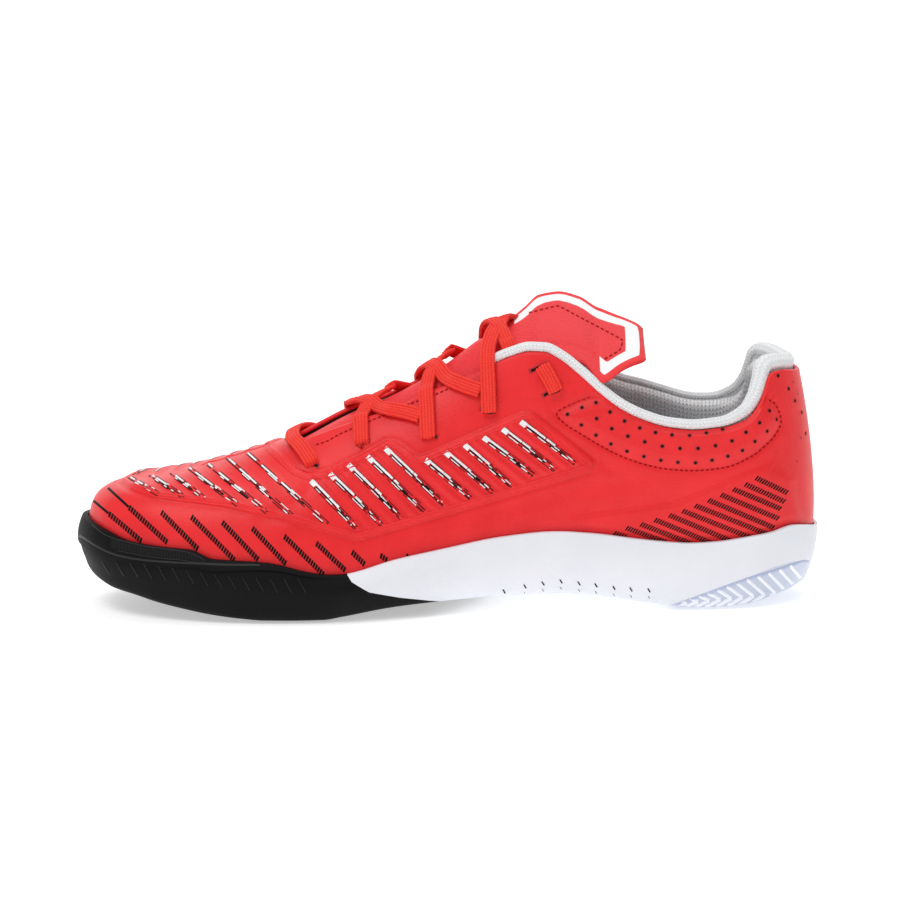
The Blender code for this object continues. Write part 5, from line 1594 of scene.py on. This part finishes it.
# The front bar: its share of the length, and how far it climbs up each eyestay.
BAR_SHARE = 0.318
BAR_DROP = 0.137
LACE_CROSSINGS = (
    (0.386, 0.440, 0.093, 0.006), (0.474, 0.520, 0.163, 0.010), (0.556, 0.586, 0.155, 0.026),
)
LACE_END = (0.630, 0.642, 0.060, 0.112)
LACE_RESTS = (
    (0.372, 0.412, ((0.424, 0.004), (0.436, 0.024), (0.449, 0.050), (0.461, 0.078))),
    (0.468, 0.502, ((0.512, 0.004), (0.520, 0.022), (0.530, 0.044), (0.540, 0.064))),
)
LACE_STEPS = 7
BAR_LEAN = 0.022
LACE_LIFT = 0.5 * LACE_THICKNESS + 3 * GAP
TONGUE_LIFT = 1.3 * LACE_LIFT
LACE_OVER = 0.55 * LACE_THICKNESS
CLIMB = (1.0, 0.66, 0.33, 0.0)


def surface_at(column, t):
    """A point of the last's surface and its outward normal there."""
    low, high = max(0.0, t - 0.004), min(1.0, t + 0.004)
    point = column.point(*column.section(t))
    along = column.point(*column.section(high)) - column.point(*column.section(low))
    before, after = column.pair
    around = after.point(*after.section(t)) - before.point(*before.section(t))
    normal = unit(np.cross(along, around))
    middle = column.point(0.0, 0.5 * column.ridge)
    return point, normal if normal @ (point - middle) > 0 else -normal


def below_edge(column, drop):
    """The t that lies a length of wall below the column's top edge."""
    t, step = column.top_t, 0.01
    here = column.section(t)
    while drop > 0 and t > step:
        there = column.section(t - step)
        length = np.linalg.norm(there - here)
        t -= step * min(1.0, drop / length)
        drop -= length
        here = there
    return t


def on_eyestay(share, side, drop):
    column = Column(share, 90.0, side)
    column.pair = Column(share - 0.004, 90.0, side), Column(share + 0.004, 90.0, side)
    t = below_edge(column, drop * BALL_WIDTH)
    point, facing = surface_at(column, t)
    return point + facing * LACE_LIFT, facing


def on_tongue(share, offset, loft):
    height = tongue_height(share, offset)
    rise_x = (tongue_height(share + MM / LENGTH, offset) - height) / MM
    rise_y = (tongue_height(share, offset + MM) - height) / MM
    facing = unit(np.array([-rise_x, -rise_y, 1.0]))
    base = np.array([place(share), offset - SPINE_LINE(share) * BALL_WIDTH, height + loft])
    return base + facing * TONGUE_LIFT, facing


def lace_path(side, row, over=0.0):
    """Middle line of one lace: up the eyestay from its eyelet and over the tongue."""
    start, end, drop, loft = row
    path = [on_eyestay(start, side, drop * part) for part in CLIMB]
    half = THROAT_LINE(start) * BALL_WIDTH
    far = THROAT_LINE(end) * BALL_WIDTH - 0.5 * LACE_WIDTH - UPPER_WALL
    for i in range(1, LACE_STEPS):
        blend = i / (LACE_STEPS - 1)
        share = start + (end - start) * blend**1.6
        offset = side * (half * (1 - blend) - far * blend)
        point, facing = on_tongue(share, offset, 0.0)
        bridge = max(0.0, 1 - 2.2 * blend)
        edge = path[len(CLIMB) - 1][0][2]
        point[2] = max(point[2], edge * bridge + point[2] * (1 - bridge))
        crest = max(0.0, math.sin(math.pi * (0.1 + 0.9 * blend)))
        point[2] += loft * BALL_WIDTH * crest**0.7 + over * math.sin(math.pi * blend)
        path.append((point, facing))
    return path


RIB_COUNT = 5
LACE_ACROSS = 26
STRAND_PITCH = 1.05 * MM


def lace_ring():
    """A lace's section: flat, round at its edges, with ribs along it."""
    ring = []
    for i in range(2 * LACE_ACROSS):
        turn = 2 * math.pi * i / (2 * LACE_ACROSS)
        c, s = math.cos(turn), math.sin(turn)
        across = math.copysign(abs(c) ** 0.55, c)
        up = math.copysign(abs(s) ** 0.55, s)
        rib = 0.20 * math.cos(2 * math.pi * RIB_COUNT * (across + 1) / 2 + math.pi)
        ring.append((across, up * (0.90 + rib)))
    return np.array(ring)


def weave(name, paths, looks, slot, *nodes):
    """Laces as one woven piece. The ends of each path turn down into the shoe."""
    ring = lace_ring()
    points, faces, uv = [], [], []
    for path in paths:
        spots = through([np.concatenate([p, f]) for p, f in path], per=9)
        middle, facing = spots[:, :3], unit(spots[:, 3:])
        ahead = unit(np.gradient(middle, axis=0))
        across = unit(np.cross(ahead, facing))
        up = unit(np.cross(across, ahead))
        length = run_length(middle)
        first = len(points)
        for i in range(len(middle)):
            for a, b in ring:
                points.append(
                    middle[i] + across[i] * a * LACE_WIDTH / 2 + up[i] * b * LACE_THICKNESS / 2
                )
                uv.append((length[i] / STRAND_PITCH, RIB_COUNT * (a + 1) / 2))
        faces += tube_faces(len(middle), len(ring), first)
    obj = turn_out(add_mesh(name, points, faces, looks["lace"], uv=uv))
    return place_piece(obj, slot, *nodes)


def dive(path, depth=5.0 * MM, step=1.4 * MM):
    """A path with its first end led down through the eyestay."""
    (point, facing), (after, _) = path[0], path[1]
    back = unit(point - after)
    return [(point + back * step - facing * depth, facing + back * 0.6),
            (point + back * step * 0.7 - facing * depth * 0.25, facing + back * 0.3)] + path


def tuck(path):
    """A path with its last end led on and down, under the far eyestay."""
    (before, _), (point, facing) = path[-2], path[-1]
    ahead = unit(point - before)
    return path + [(point + ahead * 4.5 * MM - facing * 2.2 * MM, facing),
                   (point + ahead * 9 * MM - facing * 6.5 * MM, facing)]


def build_laces(looks):
    inner, outer = (
        [on_eyestay(BAR_SHARE - BAR_LEAN * (1 - part), side, BAR_DROP * part) for part in CLIMB]
        for side in (-1, 1)
    )
    bar = dive(inner) + dive(outer)[::-1]
    weave("lace_front_bar", [bar], looks, "lace_red", "lace_bar")
    for number, row in enumerate(LACE_CROSSINGS):
        if number < len(LACE_RESTS):
            start, end, rest = LACE_RESTS[number]
            over = lace_path(1, (start, end, *row[2:]), LACE_OVER)
            over += [on_eyestay(share, -1, drop) for share, drop in rest]
            over = dive(dive(over)[::-1])
        else:
            over = tuck(dive(lace_path(1, row, LACE_OVER)))
        paths = [tuck(dive(lace_path(-1, row))), over]
        name = f"lace_cross_{number + 1}"
        weave(name, paths, looks, "lace_red", f"lace_crossing_{number + 1}")
    start, end, upper_drop, lower_drop = LACE_END
    for side, name in ((-1, "inner"), (1, "outer")):
        path = []
        for blend in np.linspace(0, 1, 5):
            drop = upper_drop + (lower_drop - upper_drop) * blend
            path.append(on_eyestay(start + (end - start) * blend, side, drop))
        path = dive(dive(path)[::-1])
        weave(f"lace_top_{name}", [path], looks, "lace_red", f"lace_end_{name}")


# The collar.
def collar_run(front, count):
    shares = stations((HEEL_CENTRE, front, count))
    inner, outer = (
        [c for c in column_list(side, 26, shares, 1) if c.spine_share >= front - 1e-9]
        for side in (-1, 1)
    )
    run = inner[::-1] + outer[1:]
    for i, column in enumerate(run):
        column.pair = run[min(i + 1, len(run) - 1)], run[max(i - 1, 0)]
    return run


def build_lining(looks):
    """The padded mesh inside the collar: one face along the wall, and one that bulges from it."""
    near, far = [], []
    for column in collar_run(LINING_FRONT, 90):
        pad = PAD_LINE(column.share)
        top, hem = below_edge(column, PAD_SEAT * pad), column.rim_t * LINING_DEPTH
        full = LINING_TOP + (PAD_THICKNESS - LINING_TOP) * pad
        near_row, far_row = [], []
        for blend in np.arange(LINING_ROWS + 1) / LINING_ROWS:
            thickness = LINING_HEM + (full - LINING_HEM) * math.sin(0.5 * math.pi * blend)
            round_top = math.sqrt(max(0.0, 1 - max(0.0, (blend - 0.94) / 0.06) ** 2))
            t = hem + (top - hem) * blend
            point, normal = surface_at(column, t)
            rise = unit(point - surface_at(column, t - 0.02)[0])
            point = point + rise * (LINING_RISE + PAD_SEAT * pad) * smoothstep(0.75, 1.0, blend)
            near_row.append(point - normal * LINING_CLEAR)
            far_row.append(point - normal * (LINING_CLEAR + thickness * (0.3 + 0.7 * round_top)))
        near.append(near_row)
        far.append(far_row)
    near, far = np.array(near), np.array(far)
    rows, width = near.shape[:2]
    down = np.linalg.norm(far - far[:, -1:], axis=2)
    travel = np.repeat(run_length(far[:, LINING_ROWS // 2])[:, None], width, 1)
    uv = np.stack([travel, down], -1).reshape(-1, 2) / MESH_PITCH
    faces = grid_faces(rows, width) + grid_faces(rows, width, first=rows * width)
    faces += rim_faces(rows, width)
    points = np.concatenate([near.reshape(-1, 3), far.reshape(-1, 3)])
    lining = turn_out(
        add_mesh("collar_mesh", points, faces, looks["mesh"], uv=np.concatenate([uv, uv]))
    )
    place_piece(lining, "mesh_grey", "collar_lining")


def build_binding(looks):
    """The knitted roll round the collar's edge."""
    spots = []
    for column in collar_run(BINDING_FRONT, 130):
        t = column.top_t
        pad = PAD_LINE(column.share)
        point, normal = surface_at(column, t)
        rise = unit(point - surface_at(column, t - 0.02)[0])
        radius = BINDING_RADIUS + (PAD_ROLL - BINDING_RADIUS) * pad
        clear = radius + 3.5 * GAP
        tilt = math.radians(90.0 * (1 - pad) + PAD_TILT * pad)
        lift = clear * math.sin(tilt) + 3.6 * MM * pad
        tuck = BINDING_TUCK * (1 - pad) + (UPPER_WALL - 1.9 * MM) * pad + clear * math.cos(tilt)
        spots.append((*(point + rise * lift - normal * tuck), radius, *normal))
    spots = np.array(spots)
    middle, radius, normal = spots[:, :3], spots[:, 3], spots[:, 4:]
    ahead = unit(np.gradient(middle, axis=0))
    side = unit(normal - ahead * np.sum(normal * ahead, -1, keepdims=True))
    up = np.cross(ahead, side)
    length = run_length(middle)
    points, uv = [], []
    ends = np.minimum(np.arange(len(middle)), np.arange(len(middle))[::-1])
    shrink = np.sqrt(np.clip(1 - np.clip(1 - ends / 3.0, 0, 1) ** 2, 0.02, 1))
    for i in range(len(middle)):
        for k in range(BINDING_AROUND):
            turn = 2 * math.pi * k / BINDING_AROUND + math.pi
            out = side[i] * math.cos(turn) + up[i] * math.sin(turn)
            points.append(middle[i] + out * radius[i] * shrink[i])
            uv.append((length[i] / KNIT_PITCH, turn * BINDING_RADIUS / KNIT_PITCH))
    faces = tube_faces(len(middle), BINDING_AROUND)
    binding = turn_out(add_mesh("collar_knit", points, faces, looks["knit"], uv=uv))
    place_piece(binding, "knit_white", "collar_binding")


def set_camera():
    data = bpy.data.cameras.new("camera")
    data.sensor_width = SENSOR
    data.lens = SENSOR * FOCAL_PX / FRAME_PX
    data.clip_end = 20.0
    camera = bpy.data.objects.new("camera", data)
    turn = Matrix((RIGHT, UP, -LOOK)).transposed().to_4x4()
    camera.matrix_world = Matrix.Translation(Vector(EYE)) @ turn
    bpy.context.scene.collection.objects.link(camera)
    bpy.context.scene.camera = camera


def area_light(name, where, aim, size, power, colour=(1, 1, 1)):
    data = bpy.data.lights.new(name, "AREA")
    data.shape, data.size, data.energy, data.color = "SQUARE", size, power, colour
    obj = bpy.data.objects.new(name, data)
    obj.location = where
    obj.rotation_euler = (Vector(aim) - Vector(where)).to_track_quat("-Z", "Y").to_euler()
    bpy.context.scene.collection.objects.link(obj)


def backdrop(name, corners, glow):
    """A white surface that glows a little, so that it stays white behind the shoe."""
    look = Look(name + "_white", (0.90, 0.90, 0.90), 0.9, 0.1).grain(40, 0.00002)
    look.shader.inputs["Emission Color"].default_value = (1, 1, 1, 1)
    look.shader.inputs["Emission Strength"].default_value = glow
    return add_mesh(name, corners, [(0, 1, 2, 3)], look.material)


# The studio's light: from all round, from its two lamps, and from its white surfaces.
WORLD_LIGHT = 0.46
KEY_POWER = 9.5
TOP_POWER = 9.0
FLOOR_GLOW = 0.45
BACKDROP_GLOW = 0.8
STUDIO_AIM = (0, 0, 0.05)


def set_studio():
    world = bpy.data.worlds.new("studio")
    world.use_nodes = True
    world.node_tree.nodes["Background"].inputs[0].default_value = (1, 1, 1, 1)
    world.node_tree.nodes["Background"].inputs[1].default_value = WORLD_LIGHT
    bpy.context.scene.world = world
    area_light("key", (-0.55, -0.75, 1.35), STUDIO_AIM, 0.7, KEY_POWER)
    area_light("top", (0.25, 0.3, 1.5), STUDIO_AIM, 1.0, TOP_POWER)
    plane = backdrop("floor", [(-4, -4, 0), (4, -4, 0), (4, 4, 0), (-4, 4, 0)], FLOOR_GLOW)
    plane.location.z = -0.2 * MM
    back = backdrop("backdrop", [(-4, 4, -1), (4, 4, -1), (4, 4, 3), (-4, 4, 3)], BACKDROP_GLOW)
    bpy.context.scene.view_settings.view_transform = "Standard"


def main():
    set_camera()
    looks = make_looks()
    upper = build_upper(looks)
    front, foam, heel = build_sole(looks)
    skin = Skin(upper)
    draw_welts(skin, looks)
    draw_streaks(skin, looks)
    draw_ticks(skin, looks)
    draw_holes(skin, looks)
    draw_sole(front, foam, heel, looks)
    build_tongue(looks)
    build_laces(looks)
    build_lining(looks)
    build_binding(looks)
    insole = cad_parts["insole"]
    insole.data.materials.clear()
    insole.data.materials.append(looks["insole"])
    set_studio()


main()
